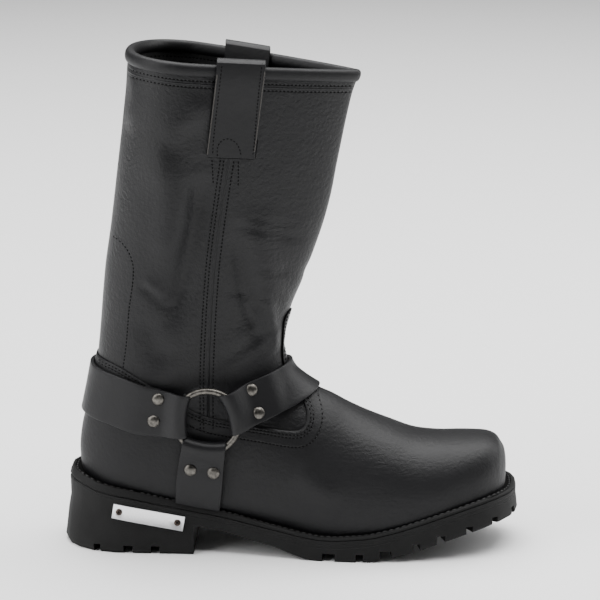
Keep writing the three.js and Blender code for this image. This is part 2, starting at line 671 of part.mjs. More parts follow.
// One side of a strap: single leather, its doubled end with the rivets, and the fold round the wire
function strapSide(outline, angle, reach, side) {
  const across = 1.6 * BALL_WIDTH;
  const prism = sidePrism(outline, Math.min(0, side * across), Math.max(0, side * across));
  const y = RING_Y.get(side);
  const face = y + side * foldRadius;
  const disc = (wide, narrow) => discAcross(wide, narrow, side, face);
  const doubled = doubledShell.intersect(disc(reach + DOUBLED_FOOT, reach + DOUBLED_FACE));
  const ramp = disc(reach + RAMP_FOOT, RING_RADIUS + foldRadius).subtract(strapBed);
  const hole = discAcross(RING_RADIUS, RING_RADIUS, side, side * across);
  const fold = solid(torus(foldRadius, y, 6, RING_STEPS));
  let body = strapShell.add(doubled).add(ramp).subtract(hole).add(fold).intersect(prism);
  body = body.subtract(solid(torus(wireRadius + GAP, y, 8, RING_STEPS)));
  for (const rivet of rivetPlaces(angle, reach, side)) body = body.subtract(rivetHole(rivet));
  return body;
}

function rivetPlaces(angle, reach, side) {
  const turn = THREE.MathUtils.radToDeg(Math.asin(RIVET_SPREAD / 2 / reach));
  return [angle - turn, angle + turn].map((place) => {
    const at = polar(reach, place);
    const found = hit(outerWall, at.x, at.y, side);
    const normal = found.normal.clone();
    const point = found.point.clone().addScaledVector(normal, STRAP_BED + 2 * STRAP_THICKNESS);
    return { point, normal };
  });
}

function standing(geometry, place) {
  const turn = new THREE.Quaternion().setFromUnitVectors(new THREE.Vector3(0, 1, 0), place.normal);
  geometry.applyQuaternion(turn);
  geometry.translate(place.point.x, place.point.y, place.point.z);
  return geometry;
}

function rivetHole(place) {
  const long = 4 * STRAP_THICKNESS;
  const geometry = new THREE.CylinderGeometry(RIVET_SHANK / 2 + GAP, RIVET_SHANK / 2 + GAP, 2 * long, 8);
  return solid(standing(geometry, place));
}

function domeHead(diameter, dome, shank, depth, place) {
  const radius = diameter / 2;
  const profile = [new THREE.Vector2(0, -depth), new THREE.Vector2(shank / 2, -depth)];
  profile.push(new THREE.Vector2(shank / 2, GAP), new THREE.Vector2(radius, GAP));
  profile.push(new THREE.Vector2(0.72 * radius, GAP + 0.78 * dome));
  profile.push(new THREE.Vector2(0, GAP + dome));
  return standing(new THREE.LatheGeometry(profile, 8), place);
}

// Pull straps: a folded strip that leaves the wall, passes over the binding and goes down inside
const rimRow = FORM_RINGS.at(-1);
const rimHeight = (x) => THREE.MathUtils.mapLinear(
  x, rimRow[0].x, rimRow[HALF_POINTS].x, rimRow[0].z, rimRow[HALF_POINTS].z,
);
const PULL_FOOT = 0.366;
const PULL_TOP = 0.392;
const PULL_ARCH = [30, 60, 90, 120, 150];

function pullPath(place, side) {
  const shift = (place * PULL_WIDTH) / 2;
  const topX = PULL_TOP * FOOT_LENGTH + shift;
  const footX = PULL_FOOT * FOOT_LENGTH + shift;
  const rim = rimHeight(topX);
  const proud = BINDING_GAP + BINDING_THICKNESS;
  const at = (drop, mesh, outward) => {
    const x = THREE.MathUtils.lerp(topX, footX, drop / PULL_LENGTH);
    const raised = proud * (1 - THREE.MathUtils.smoothstep(drop, BINDING_HEIGHT, 3 * BINDING_HEIGHT));
    const lift = 2 * GAP + PULL_THICKNESS / 2 + raised;
    const wall = hit(mesh, x, rim - drop, side, outward > 0).point.y;
    return new THREE.Vector3(x, wall + side * outward * lift, rim - drop);
  };
  const drops = [0.03, 0.2, 0.4, 0.6, 0.8, 1].map((share) => share * PULL_LENGTH);
  const outerLeg = drops.map((drop) => at(drop, outerWall, 1)).reverse();
  const innerLeg = drops.slice(0, 5).map((drop) => at(drop, innerWall, -1));
  const [start, end] = [outerLeg.at(-1), innerLeg[0]];
  const centre = (start.y + end.y) / 2;
  const radius = (start.y - end.y) / 2;
  const arch = PULL_ARCH.map((angle) => new THREE.Vector3(
    topX,
    centre + radius * Math.cos(degrees(angle)),
    rim + proud + PULL_RISE * Math.sin(degrees(angle)),
  ));
  return [...outerLeg, ...arch, ...innerLeg];
}

function pullStrap(side) {
  const half = PULL_THICKNESS / 2;
  const paths = [-1, -0.33, 0.33, 1].map((place) => pullPath(place, side));
  const rings = paths[0].map((unused, i) => {
    const pairs = paths.map((path) => {
      const before = path[Math.max(i - 1, 0)];
      const after = path[Math.min(i + 1, path.length - 1)];
      const out = new THREE.Vector3(0, after.z - before.z, before.y - after.y).normalize();
      return [1, -1].map((sign) => path[i].clone().addScaledVector(out, sign * side * half));
    });
    const ring = [...pairs.map((pair) => pair[0]), ...pairs.map((pair) => pair[1]).reverse()];
    return side < 0 ? ring : ring.reverse();
  });
  return loft(rings);
}

// Heel plate, bent round the outer side of the heel
function platePlace(run) {
  const middle = PLATE_PLACE.x * FOOT_LENGTH;
  const tilt = Math.atan(PLATE_SLOPE);
  const x = middle + run * Math.cos(tilt);
  const z = PLATE_PLACE.height * seat(middle) - run * Math.sin(tilt);
  return new THREE.Vector2(x, z);
}

function heelPlate() {
  const turn = new THREE.Vector2();
  const corners = [[-1, -1], [1, -1], [1, 1], [-1, 1]].map(([along, up]) => (
    new THREE.Vector2((along * PLATE_LENGTH) / 2, (up * PLATE_WIDTH) / 2)
      .rotateAround(turn, -Math.atan(PLATE_SLOPE)).add(platePlace(0))
  ));
  const prism = sidePrism(corners, -BALL_WIDTH, 0);
  let body = solid(soleBlank(PLATE_THICKNESS + GAP)).subtract(solid(soleBlank(GAP))).intersect(prism);
  for (const place of screwPlaces()) body = body.subtract(screwHole(place));
  return body;
}

function screwPlaces() {
  const face = new THREE.Mesh(soleBlank(PLATE_THICKNESS + GAP), outerWall.material);
  return [-1, 1].map((end) => {
    const at = platePlace(end * (PLATE_LENGTH / 2 - SCREW_HEAD));
    const found = hit(face, at.x, at.y, -1);
    return { point: found.point, normal: found.normal.clone() };
  });
}

function screwHole(place) {
  const across = SCREW_HEAD / 4 + GAP;
  const sink = SCREW_HEAD / 2 + GAP;
  const shank = solid(standing(new THREE.CylinderGeometry(across, across, 4 * PLATE_THICKNESS, 10), place));
  return shank.add(solid(standing(new THREE.CylinderGeometry(sink, sink, PLATE_THICKNESS, 10), place)));
}

// The boot
const boot = new THREE.Group();

function add(name, shape, finish) {
  const geometry = shape.isBufferGeometry ? shape : geometryOf(shape);
  const mesh = new THREE.Mesh(geometry, new THREE.MeshStandardMaterial(finish));
  mesh.name = name;
  boot.add(mesh);
}

add('upper', upper(), BLACK_LEATHER);
add('outsole', outsole(), BLACK_RUBBER);
add('welt', welt(), BLACK_RUBBER);
add('insole', insole(), INSOLE_LEATHER);
add('collar_binding', collarBinding(), BLACK_LEATHER);

const STRAPS = [
  { name: 'back', rows: BACK_STRAP_ROWS, angle: BACK_STRAP_ANGLE, reach: RIVET_REACH },
  { name: 'instep', rows: INSTEP_STRAP_ROWS, angle: INSTEP_STRAP_ANGLE, reach: INSTEP_RIVET_REACH },
  { name: 'under', rows: UNDER_STRAP_ROWS, angle: UNDER_STRAP_ANGLE, reach: RIVET_REACH },
];
const SIDES = [{ name: 'lateral', side: -1 }, { name: 'medial', side: 1 }];

for (const strap of STRAPS) {
  const outline = strapOutline(strap.rows, strap.angle);
  const [lateral, medial] = SIDES.map(({ side }) => strapSide(outline, strap.angle, strap.reach, side));
  if (strap.name === 'under') {
    const floor = underSeat(LIP_HEIGHT + GAP);
    add('strap_under_lateral', lateral.subtract(floor), STRAP_LEATHER);
    add('strap_under_medial', medial.subtract(floor), STRAP_LEATHER);
  } else {
    add(`strap_${strap.name}`, lateral.add(medial), STRAP_LEATHER);
  }
  for (const { name, side } of SIDES) {
    rivetPlaces(strap.angle, strap.reach, side).forEach((place, i) => {
      const rivet = domeHead(RIVET_HEAD, RIVET_DOME, RIVET_SHANK, 1.6 * STRAP_THICKNESS, place);
      add(`rivet_${strap.name}_${name}_${i + 1}`, rivet, DARK_NICKEL);
    });
  }
}

for (const { name, side } of SIDES) {
  add(`ring_${name}`, torus(wireRadius, RING_Y.get(side), 8, RING_STEPS), DARK_NICKEL);
  add(`pull_strap_${name}`, pullStrap(side), STRAP_LEATHER);
}

add('heel_plate', heelPlate(), SATIN_ALUMINIUM);
screwPlaces().forEach((place, i) => {
  const screw = domeHead(SCREW_HEAD, SCREW_DOME, SCREW_HEAD / 2, PLATE_THICKNESS, place);
  add(`plate_screw_${i + 1}`, screw, SATIN_ALUMINIUM);
});

// Origin at the middle of the boot's box, on the floor
const box = new THREE.Box3().setFromObject(boot);
boot.position.set(-(box.min.x + box.max.x) / 2, -(box.min.y + box.max.y) / 2, -box.min.z);

export default boot;
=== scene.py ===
"""A harness boot for the right foot on a pale studio floor."""

import math

import bmesh
import bpy
import numpy as np
from mathutils import Matrix, Vector
from mathutils.bvhtree import BVHTree


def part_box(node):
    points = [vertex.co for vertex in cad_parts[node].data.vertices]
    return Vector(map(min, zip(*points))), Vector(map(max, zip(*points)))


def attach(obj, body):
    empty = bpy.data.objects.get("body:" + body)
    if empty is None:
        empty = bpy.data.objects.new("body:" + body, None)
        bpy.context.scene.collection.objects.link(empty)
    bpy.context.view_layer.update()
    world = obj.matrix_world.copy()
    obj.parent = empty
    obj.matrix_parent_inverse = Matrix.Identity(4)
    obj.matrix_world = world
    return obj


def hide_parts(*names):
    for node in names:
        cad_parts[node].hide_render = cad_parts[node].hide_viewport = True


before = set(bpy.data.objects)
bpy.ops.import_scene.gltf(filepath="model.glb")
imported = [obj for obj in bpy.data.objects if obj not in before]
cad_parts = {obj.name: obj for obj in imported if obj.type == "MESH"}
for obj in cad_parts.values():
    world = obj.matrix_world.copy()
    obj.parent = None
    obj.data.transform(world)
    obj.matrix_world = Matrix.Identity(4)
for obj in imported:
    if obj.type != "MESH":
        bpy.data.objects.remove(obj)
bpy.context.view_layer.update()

# Sizes of the boot in millimetres. While it is measured, X = 0 is the back of the heel.
MM = 0.001
ORIGIN = np.array([-150.877, 0.002, 0.014])
FOOT_LENGTH = 304
BALL_WIDTH = 96
COLLAR_WIDTH = 118
UPPER_HEIGHT = 302
SEAT_HEIGHT = 52
LEATHER = 2.8
OVERLAY = 1.2
OUTSIDE = 150
FAR, TINY = 1e9, 1e-9
SMOOTH = 180

# Merging distances in metres: leather, CAD meshes, turned shapes
WELD, CAD_WELD, TURNED_WELD = 0.00002, 0.00001, 0.000005

# How finely lines, sections and the vamp edge are worked out
SPLINE_STEPS = 24
SECTION_STEPS = 480
HALVINGS = 12
NORMAL_REACH_U, NORMAL_REACH_V = 1.5, 0.08

# Height of the seat under the upper: x of FOOT_LENGTH, z of SEAT_HEIGHT
SEAT_ROWS = np.array([
    (-0.07, 1.02), (0.0, 0.981), (0.059, 0.87), (0.118, 0.81), (0.194, 0.712), (0.234, 0.66),
    (0.349, 0.529), (0.464, 0.377), (0.566, 0.268), (0.641, 0.29), (0.694, 0.33), (0.766, 0.442),
    (0.839, 0.571), (0.914, 0.692), (0.97, 0.755), (1.0, 0.765), (1.06, 0.76),
])

# Sections of the last from the toe round the heel: low end x and height, high end x and height,
# outer and inner half width, ridge, widest place, squareness of the low and of the high end
FOOT_ROWS = np.array([
    (0.996, 0.021, 0.996, 0.071, 0.031, 0.146, 0.057, 0.5, 2.4, 2.4),
    (0.993, -0.006, 0.993, 0.086, 0.104, 0.219, 0.057, 0.45, 2.6, 2.5),
    (0.986, -0.022, 0.986, 0.098, 0.161, 0.271, 0.054, 0.42, 2.8, 2.6),
    (0.975, -0.032, 0.976, 0.112, 0.219, 0.318, 0.05, 0.4, 3, 2.7),
    (0.954, -0.039, 0.957, 0.123, 0.292, 0.359, 0.042, 0.38, 3.1, 2.7),
    (0.928, -0.042, 0.929, 0.131, 0.355, 0.392, 0.031, 0.37, 3.2, 2.6),
    (0.888, -0.042, 0.891, 0.141, 0.413, 0.425, 0.021, 0.37, 3.2, 2.5),
    (0.839, -0.044, 0.842, 0.155, 0.46, 0.456, 0.01, 0.36, 3.2, 2.4),
    (0.78, -0.044, 0.783, 0.181, 0.494, 0.478, 0.005, 0.35, 3.2, 2.3),
    (0.72, -0.044, 0.727, 0.219, 0.511, 0.482, 0, 0.35, 3.2, 2.2),
    (0.661, -0.043, 0.674, 0.253, 0.508, 0.466, 0, 0.35, 3.2, 2.1),
    (0.602, -0.043, 0.628, 0.281, 0.493, 0.43, 0, 0.35, 3.2, 2),
    (0.543, -0.043, 0.589, 0.306, 0.472, 0.396, 0, 0.36, 3, 2),
    (0.484, -0.038, 0.556, 0.32, 0.446, 0.375, 0, 0.38, 3, 2),
    (0.359, -0.039, 0.505, 0.347, 0.41, 0.365, 0, 0.42, 3, 2),
    (0.28, -0.04, 0.488, 0.367, 0.4, 0.37, 0, 0.44, 3, 2),
    (0.109, -0.042, 0.477, 0.409, 0.383, 0.37, 0, 0.45, 3, 2),
    (0.043, -0.029, 0.478, 0.428, 0.38, 0.37, 0, 0.44, 2.8, 2),
    (0.012, 0.001, 0.48, 0.445, 0.375, 0.367, 0, 0.43, 2.5, 2),
    (0.004, 0.049, 0.484, 0.464, 0.375, 0.367, 0, 0.42, 2.4, 2),
    (0.008, 0.102, 0.49, 0.486, 0.375, 0.368, 0, 0.41, 2.3, 1.9),
    (0.02, 0.162, 0.498, 0.514, 0.38, 0.373, 0, 0.4, 2.3, 1.9),
    (0.034, 0.233, 0.51, 0.546, 0.385, 0.378, 0, 0.39, 2.2, 1.8),
])
SHAFT_ROWS = np.array([
    (0.047, 0.31, 0.525, 0.584, 0.326, 0.32, 0, 0.38, 2.2, 1.7),
    (0.067, 0.514, 0.567, 0.709, 0.377, 0.373, 0, 0.34, 2.2, 1.5),
    (0.082, 0.616, 0.587, 0.784, 0.405, 0.401, 0, 0.32, 2.2, 1.4),
    (0.096, 0.724, 0.602, 0.863, 0.432, 0.428, 0, 0.3, 2.2, 1.35),
    (0.121, 0.926, 0.633, 1.01, 0.481, 0.48, 0, 0.27, 2.2, 1.25),
    (0.13, 1.029, 0.651, 1.062, 0.5, 0.5, 0, 0.25, 2.2, 1.2),
])

# Edge of the counter and of the vamp over both, from the back to the tip of the tongue
EDGE_ROWS = [
    (-0.02, 0.3), (0.043, 0.302), (0.1, 0.302), (0.161, 0.283), (0.268, 0.239), (0.312, 0.228),
    (0.355, 0.228), (0.432, 0.233), (0.493, 0.236), (0.525, 0.245), (0.537, 0.275), (0.52, 0.31),
    (0.49, 0.355), (0.477, 0.374), (0.474, 0.43), (0.48, 0.481), (0.492, 0.502), (0.52, 0.508),
]


def hermite(t, first, start, second, end):
    """Between two values, with the slopes there."""
    low = (2 * t**3 - 3 * t**2 + 1) * first + (t**3 - 2 * t**2 + t) * start
    return low + (3 * t**2 - 2 * t**3) * second + (t**3 - t**2) * end


def curve_at(rows, position):
    """A smooth curve through sorted table rows."""
    keys, values = rows.T
    position = np.clip(position, keys[0], keys[-1])
    i = np.clip(np.searchsorted(keys, position, side="right") - 1, 0, len(keys) - 2)
    before, after = np.maximum(i - 1, 0), np.minimum(i + 2, len(keys) - 1)
    span = keys[i + 1] - keys[i]
    t = (position - keys[i]) / span
    start = (values[i + 1] - values[before]) / (keys[i + 1] - keys[before]) * span
    end = (values[after] - values[i]) / (keys[after] - keys[i]) * span
    return hermite(t, values[i], start, values[i + 1], end)


def seat(x):
    return curve_at(SEAT_ROWS, np.asarray(x) / FOOT_LENGTH) * SEAT_HEIGHT


def side_point(x_share, h_share):
    x = np.asarray(x_share) * FOOT_LENGTH
    return np.stack([x, seat(x) + np.asarray(h_share) * UPPER_HEIGHT], axis=-1)


def run_along(path):
    return np.append(0, np.cumsum(np.linalg.norm(np.diff(path, axis=0), axis=1)))


def rows_at(stops, run, rows):
    return np.stack([np.interp(stops, run, column) for column in rows.T], axis=-1)


def unit(rows):
    return rows / np.linalg.norm(rows, axis=-1, keepdims=True)


def spline(points, step):
    """A smooth line through points, at an even step in millimetres."""
    points = np.asarray(points, float)
    padded = np.vstack([2 * points[0] - points[1], points, 2 * points[-1] - points[-2]])
    fine = []
    for i in range(len(points) - 1):
        a, b, c, d = padded[i:i + 4]
        for t in np.linspace(0, 1, SPLINE_STEPS, endpoint=False):
            fine.append(0.5 * (2 * b + (c - a) * t + (2 * a - 5 * b + 4 * c - d) * t**2
                               + (3 * b - a - 3 * c + d) * t**3))
    fine = np.array(fine + [points[-1]])
    run = run_along(fine)
    return rows_at(np.linspace(0, run[-1], max(2, int(round(run[-1] / step)) + 1)), run, fine)


def side_spline(rows, step):
    rows = np.array(rows)
    return spline(side_point(rows[:, 0], rows[:, 1]), step)


# The last as a surface: v runs over the sections, u round each one from its low end
HALF = 120


def half_section(row, side, width, ridge):
    low_end, high_end = side_point(row[0], row[1]), side_point(row[2], row[3])
    angle = np.linspace(0, math.pi, SECTION_STEPS + 1)
    power = 2 / np.where(angle <= math.pi / 2, row[8], row[9])
    along = np.abs(np.cos(angle)) ** power
    share = np.where(angle <= math.pi / 2, row[7] * (1 - along), row[7] + (1 - row[7]) * along)
    out = np.abs(np.sin(angle)) ** power * width
    place = low_end + share[:, None] * (high_end - low_end)
    path = np.stack([place[:, 0], ridge + side * out, place[:, 1]], axis=-1)
    run = run_along(path)
    return rows_at(np.linspace(0, run[-1], HALF + 1), run, path)


def section_ring(row, width):
    ridge = row[6] * width
    outer = half_section(row, -1, row[4] * width + ridge, ridge)
    inner = half_section(row, 1, row[5] * width - ridge, ridge)
    return np.vstack([outer, inner[-2:0:-1]])


RINGS = np.array([section_ring(row, BALL_WIDTH) for row in FOOT_ROWS]
                 + [section_ring(row, COLLAR_WIDTH) for row in SHAFT_ROWS])
AROUND = RINGS.shape[1]
TOP = len(RINGS) - 1
CHORDS = np.linalg.norm(np.diff(RINGS, axis=0), axis=2)
RUNS = np.concatenate([np.zeros((1, AROUND)), np.cumsum(CHORDS, axis=0)])
NEXT = np.minimum(np.arange(TOP + 1) + 1, TOP)
LAST = np.maximum(np.arange(TOP + 1) - 1, 0)
SLOPES = (RINGS[NEXT] - RINGS[LAST]) / (RUNS[NEXT] - RUNS[LAST])[:, :, None]


def last_point(v, u):
    j = np.clip(np.floor(v).astype(int), 0, TOP - 1)
    t = (v - j)[..., None]
    k = np.floor(u).astype(int)
    f = (u - k)[..., None]

    def column(n):
        n = n % AROUND
        span = CHORDS[j, n][..., None]
        return hermite(t, RINGS[j, n], span * SLOPES[j, n], RINGS[j + 1, n], span * SLOPES[j + 1, n])

    return (1 - f) * column(k) + f * column(k + 1)


def last_normal(v, u):
    around = last_point(v, u + NORMAL_REACH_U) - last_point(v, u - NORMAL_REACH_U)
    ahead, behind = np.minimum(v + NORMAL_REACH_V, TOP), np.maximum(v - NORMAL_REACH_V, 0)
    normal = np.cross(around, last_point(ahead, u) - last_point(behind, u))
    return normal / np.maximum(np.linalg.norm(normal, axis=-1, keepdims=True), TINY)


def line_distance(points, line):
    """Distance of side-view points to a line, and how far along it they are nearest."""
    best = np.full(points.shape[:-1], FAR)
    where = np.zeros(points.shape[:-1])
    for i in range(len(line) - 1):
        a, ab = line[i], line[i + 1] - line[i]
        t = np.clip(((points - a) @ ab) / max(ab @ ab, TINY), 0, 1)
        gap = np.linalg.norm(points - a - t[..., None] * ab, axis=-1)
        where = np.where(gap < best, (i + t) / (len(line) - 1), where)
        best = np.minimum(best, gap)
    return best, where


def inside(points, polygon):
    found = np.zeros(points.shape[:-1], bool)
    x, z = points[..., 0], points[..., 1]
    for (ax, az), (bx, bz) in zip(polygon, np.roll(polygon, -1, axis=0)):
        crosses = (az > z) != (bz > z)
        cut = ax + (z - az) * (bx - ax) / np.where(bz == az, TINY, bz - az)
        found ^= crosses & (x < cut)
    return found


EDGE_LINE = side_spline(EDGE_ROWS, 2.0)
AROUND_FOOT = side_point([0.6, 1.2, 1.2, -0.2, -0.2], [0.52, 0.3, -0.3, -0.3, 0.3])
FOOT_REGION = np.vstack([EDGE_LINE, AROUND_FOOT])


def edge_distance(points):
    """Side-view distance to the vamp and counter edge, negative on the foot."""
    side = points[..., [0, 2]]
    gap, _ = line_distance(side, EDGE_LINE)
    return np.where(inside(side, FOOT_REGION), -gap, gap)


def grid_mesh(rows, columns, fields=()):
    """A grid from the operator, with its vertices by row and column."""
    bm = bmesh.new()
    for field in fields:
        bm.verts.layers.float.new(field)
    bmesh.ops.create_grid(bm, x_segments=columns - 1, y_segments=rows - 1, size=0.5)
    bm.verts.ensure_lookup_table()
    place = {}
    for vert in bm.verts:
        column = round((vert.co.x + 0.5) * (columns - 1))
        row = round((vert.co.y + 0.5) * (rows - 1))
        place[row, column] = vert
    return bm, place


def placed(points):
    return (np.asarray(points) + ORIGIN) * MM


def linked(name, bm, material):
    piece = bpy.data.objects.new(name, bpy.data.meshes.new(name))
    bm.to_mesh(piece.data)
    bm.free()
    piece.data.materials.append(material)
    bpy.context.collection.objects.link(piece)
    return piece


def shown(name, bm, material, sharp=SMOOTH):
    """A smooth shaded piece from a bmesh, with creases over an angle in degrees."""
    for face in bm.faces:
        face.smooth = True
    for edge in bm.edges:
        if len(edge.link_faces) == 2 and edge.calc_face_angle(0) > math.radians(sharp):
            edge.smooth = False
    piece = linked(name, bm, material)
    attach(piece, "root")
    return piece


def row_stops(step):
    """Places along v so that no column has longer steps than this."""
    stops = []
    for j in range(TOP):
        pieces = max(2, int(math.ceil(CHORDS[j].max() / step)))
        stops += [j + k / pieces for k in range(pieces)]
    return np.array(stops + [TOP])


def snapped_grid(step, columns):
    """Grid places on the last, moved so that one line of vertices runs on the vamp edge."""
    v_stops = row_stops(step)
    u_stops = np.linspace(0, AROUND, columns)
    v, u = np.meshgrid(v_stops, u_stops, indexing="ij")
    gap = edge_distance(last_point(v, u))
    move = np.full(v.shape, 1.0)
    reach = np.zeros(v.shape + (2,))
    for axis in (0, 1):
        for step_to in (1, -1):
            other, other_v, other_u = (np.roll(field, -step_to, axis) for field in (gap, v, u))
            valid = np.ones(v.shape, bool)
            np.moveaxis(valid, axis, 0)[-1 if step_to == 1 else 0] = False
            share = gap / np.where(gap == other, TINY, gap - other)
            take = valid & (gap * other < 0) & (share <= 0.5) & (share < move)
            move = np.where(take, share, move)
            reach[take] = np.stack([other_v - v, other_u - u], axis=-1)[take]
    on_edge = move < 1
    low, high = np.zeros(v.shape), np.where(on_edge, np.minimum(2 * move, 1), 0)
    sign = np.sign(gap)
    for _ in range(HALVINGS):
        middle = (low + high) / 2
        there = edge_distance(last_point(v + middle * reach[..., 0], u + middle * reach[..., 1]))
        same = np.sign(there) == sign
        low, high = np.where(same, middle, low), np.where(same, high, middle)
    share = np.where(on_edge, (low + high) / 2, 0)
    v, u = v + share * reach[..., 0], u + share * reach[..., 1]
    gap = np.where(on_edge, 0, gap)
    return v, u, gap


def joined(tree, made, inputs):
    """Sets the sockets of a node to values, or links them to (node, output)."""
    for key, value in inputs.items():
        if isinstance(value, tuple) and isinstance(value[0], bpy.types.Node):
            tree.links.new(value[0].outputs[value[1]], made.inputs[key])
        else:
            made.inputs[key].default_value = value
    return made


def node(tree, kind, inputs=None, **settings):
    """Adds a shader node with its settings, values and links."""
    made = tree.nodes.new(kind)
    for key, value in settings.items():
        setattr(made, key, value)
    return joined(tree, made, inputs or {})


def sums(tree, operation, *values):
    """Chains a math operation over values and gives (node, output)."""
    total = values[0]
    for value in values[1:]:
        total = (node(tree, "ShaderNodeMath", {0: total, 1: value}, operation=operation), 0)
    return total


def srgb(text):
    """Linear colour of an sRGB hex value."""
    parts = [int(text[i:i + 2], 16) / 255 for i in (0, 2, 4)]
    return tuple(c / 12.92 if c <= 0.04045 else ((c + 0.055) / 1.055) ** 2.4 for c in parts) + (1.0,)


def new_material(name):
    material = bpy.data.materials.new(name)
    material.use_nodes = True
    return material, material.node_tree


def finished(material, inputs):
    tree = material.node_tree
    joined(tree, tree.nodes["Principled BSDF"], inputs)
    return material


def ranged(tree, value, low, high, start=0.0, end=1.0, kind="LINEAR"):
    return node(tree, "ShaderNodeMapRange", {"Value": value, "From Min": low, "From Max": high,
                                             "To Min": start, "To Max": end}, interpolation_type=kind), 0


def near(tree, attribute, place, width):
    """1 where a millimetre attribute is at a place, falling smoothly to 0 at a width."""
    value = (node(tree, "ShaderNodeAttribute", attribute_name=attribute), "Fac")
    gap = sums(tree, "SUBTRACT", value, place)
    gap = (node(tree, "ShaderNodeMath", {0: gap}, operation="ABSOLUTE"), 0)
    return ranged(tree, gap, 0.0, width, 1.0, 0.0, "SMOOTHSTEP")


def noise(tree, place, size, detail):
    """Noise with cells of a size in millimetres."""
    return node(tree, "ShaderNodeTexNoise", {"Vector": place, "Scale": 1 / (size * MM), "Detail": detail})


def vectors(tree, operation, first, second):
    return node(tree, "ShaderNodeVectorMath", {0: first, 1: second}, operation=operation), 0


def bump(tree, height, distance=MM):
    return node(tree, "ShaderNodeBump", {"Height": height, "Distance": distance, "Strength": 1.0}), 0


def shade(tree, share, dark, light):
    return node(tree, "ShaderNodeMix", {0: share, 6: srgb(dark), 7: srgb(light)}, data_type="RGBA"), 2


# Leather in millimetres: fine grain, wax patches, soft dents with their depth, the size of a
# flex wrinkle along X, Y and Z, and how far in metres the dents bend it
FINE_GRAIN, WAX_PATCH, DENT, DENT_DEPTH = 2.6, 62.5, 14.286, 0.3
WRINKLE, WRINKLE_BEND = (10.526, 10.526, 1.4286), (0.004, 0.004, 0.007)
FINE_SHARE = 5.5
LEATHER_SPECULAR, RUBBER_SPECULAR = 0.26, 0.265

# Rubber and metal in millimetres: tooth, wiping marks, mould lines under the lip, plating
TOOTH, TOOTH_DEPTH, WIPE, WIPE_DEPTH = 1.111, 0.1, 16.667, 0.25
MOULD_LINES, MOULD_LINE_WIDTH, MOULD_LINE_HEIGHT = (5.2, 7.6), 0.55, -0.35
METAL_RELIEF = 0.06


def leather(name, dark, light, roughness, grain_mm, grain_depth, lines=(), flex=0.0):
    """Full-grain leather: pebble grain, soft wax patches, grooves and ridges along seams in
    (attribute, place, width, height) and flex wrinkles, all heights in millimetres."""
    material, tree = new_material(name)
    place = (node(tree, "ShaderNodeTexCoord"), "Object")
    cells = node(tree, "ShaderNodeTexVoronoi", {"Vector": place, "Scale": 1 / (grain_mm * MM)},
                 feature="SMOOTH_F1")
    fine = (noise(tree, place, FINE_GRAIN, 4.0), "Fac")
    wide = (noise(tree, place, WAX_PATCH, 4.0), "Fac")
    soft = noise(tree, place, DENT, 2.0)
    heights = [sums(tree, "MULTIPLY", (cells, "Distance"), grain_depth),
               sums(tree, "MULTIPLY", fine, grain_depth * FINE_SHARE),
               sums(tree, "MULTIPLY", (soft, "Fac"), DENT_DEPTH)]
    if flex:
        bend = vectors(tree, "MULTIPLY", (soft, "Color"), WRINKLE_BEND)
        moved = vectors(tree, "ADD", place, bend)
        slim = vectors(tree, "MULTIPLY", moved, tuple(1 / (size * MM) for size in WRINKLE))
        folds = node(tree, "ShaderNodeTexNoise", {"Vector": slim, "Scale": 1.0, "Detail": 1.5})
        area = (node(tree, "ShaderNodeAttribute", attribute_name="flex"), "Fac")
        heights.append(sums(tree, "MULTIPLY", ranged(tree, (folds, "Fac"), 0.36, 0.56), area, flex))
    for attribute, at, width, height in lines:
        heights.append(sums(tree, "MULTIPLY", near(tree, attribute, at, width), height))
    return finished(material, {
        "Base Color": shade(tree, wide, dark, light), "Specular IOR Level": LEATHER_SPECULAR,
        "Roughness": ranged(tree, wide, 0.3, 0.7, roughness - 0.05, roughness + 0.06),
        "Normal": bump(tree, sums(tree, "ADD", *heights))})


def plain(name, colour, roughness, specular=0.5):
    return finished(new_material(name)[0], {
        "Base Color": srgb(colour), "Roughness": roughness, "Specular IOR Level": specular})


def rubber(name, colour, roughness):
    """Moulded rubber: matte tooth, wiping marks and mould lines under the lip."""
    material, tree = new_material(name)
    place = (node(tree, "ShaderNodeTexCoord"), "Object")
    tooth = (noise(tree, place, TOOTH, 3.0), "Fac")
    wiped = (noise(tree, place, WIPE, 4.0), "Fac")
    heights = [sums(tree, "MULTIPLY", tooth, TOOTH_DEPTH), sums(tree, "MULTIPLY", wiped, WIPE_DEPTH)]
    for at in MOULD_LINES:
        line = near(tree, "below_lip", at, MOULD_LINE_WIDTH)
        heights.append(sums(tree, "MULTIPLY", line, MOULD_LINE_HEIGHT))
    return finished(material, {
        "Base Color": srgb(colour), "Specular IOR Level": RUBBER_SPECULAR,
        "Roughness": ranged(tree, wiped, 0.0, 1.0, roughness - 0.1, roughness + 0.12),
        "Normal": bump(tree, sums(tree, "ADD", *heights))})


def metal(name, colour, worn, roughness, spot_mm):
    """Plated metal with a mottled antique finish."""
    material, tree = new_material(name)
    place = (node(tree, "ShaderNodeTexCoord"), "Object")
    spots = (noise(tree, place, spot_mm, 5.0), "Fac")
    return finished(material, {
        "Base Color": shade(tree, ranged(tree, spots, 0.35, 0.65), colour, worn), "Metallic": 1.0,
        "Roughness": ranged(tree, spots, 0.0, 1.0, roughness - 0.1, roughness + 0.12),
        "Normal": bump(tree, spots, METAL_RELIEF * MM)})


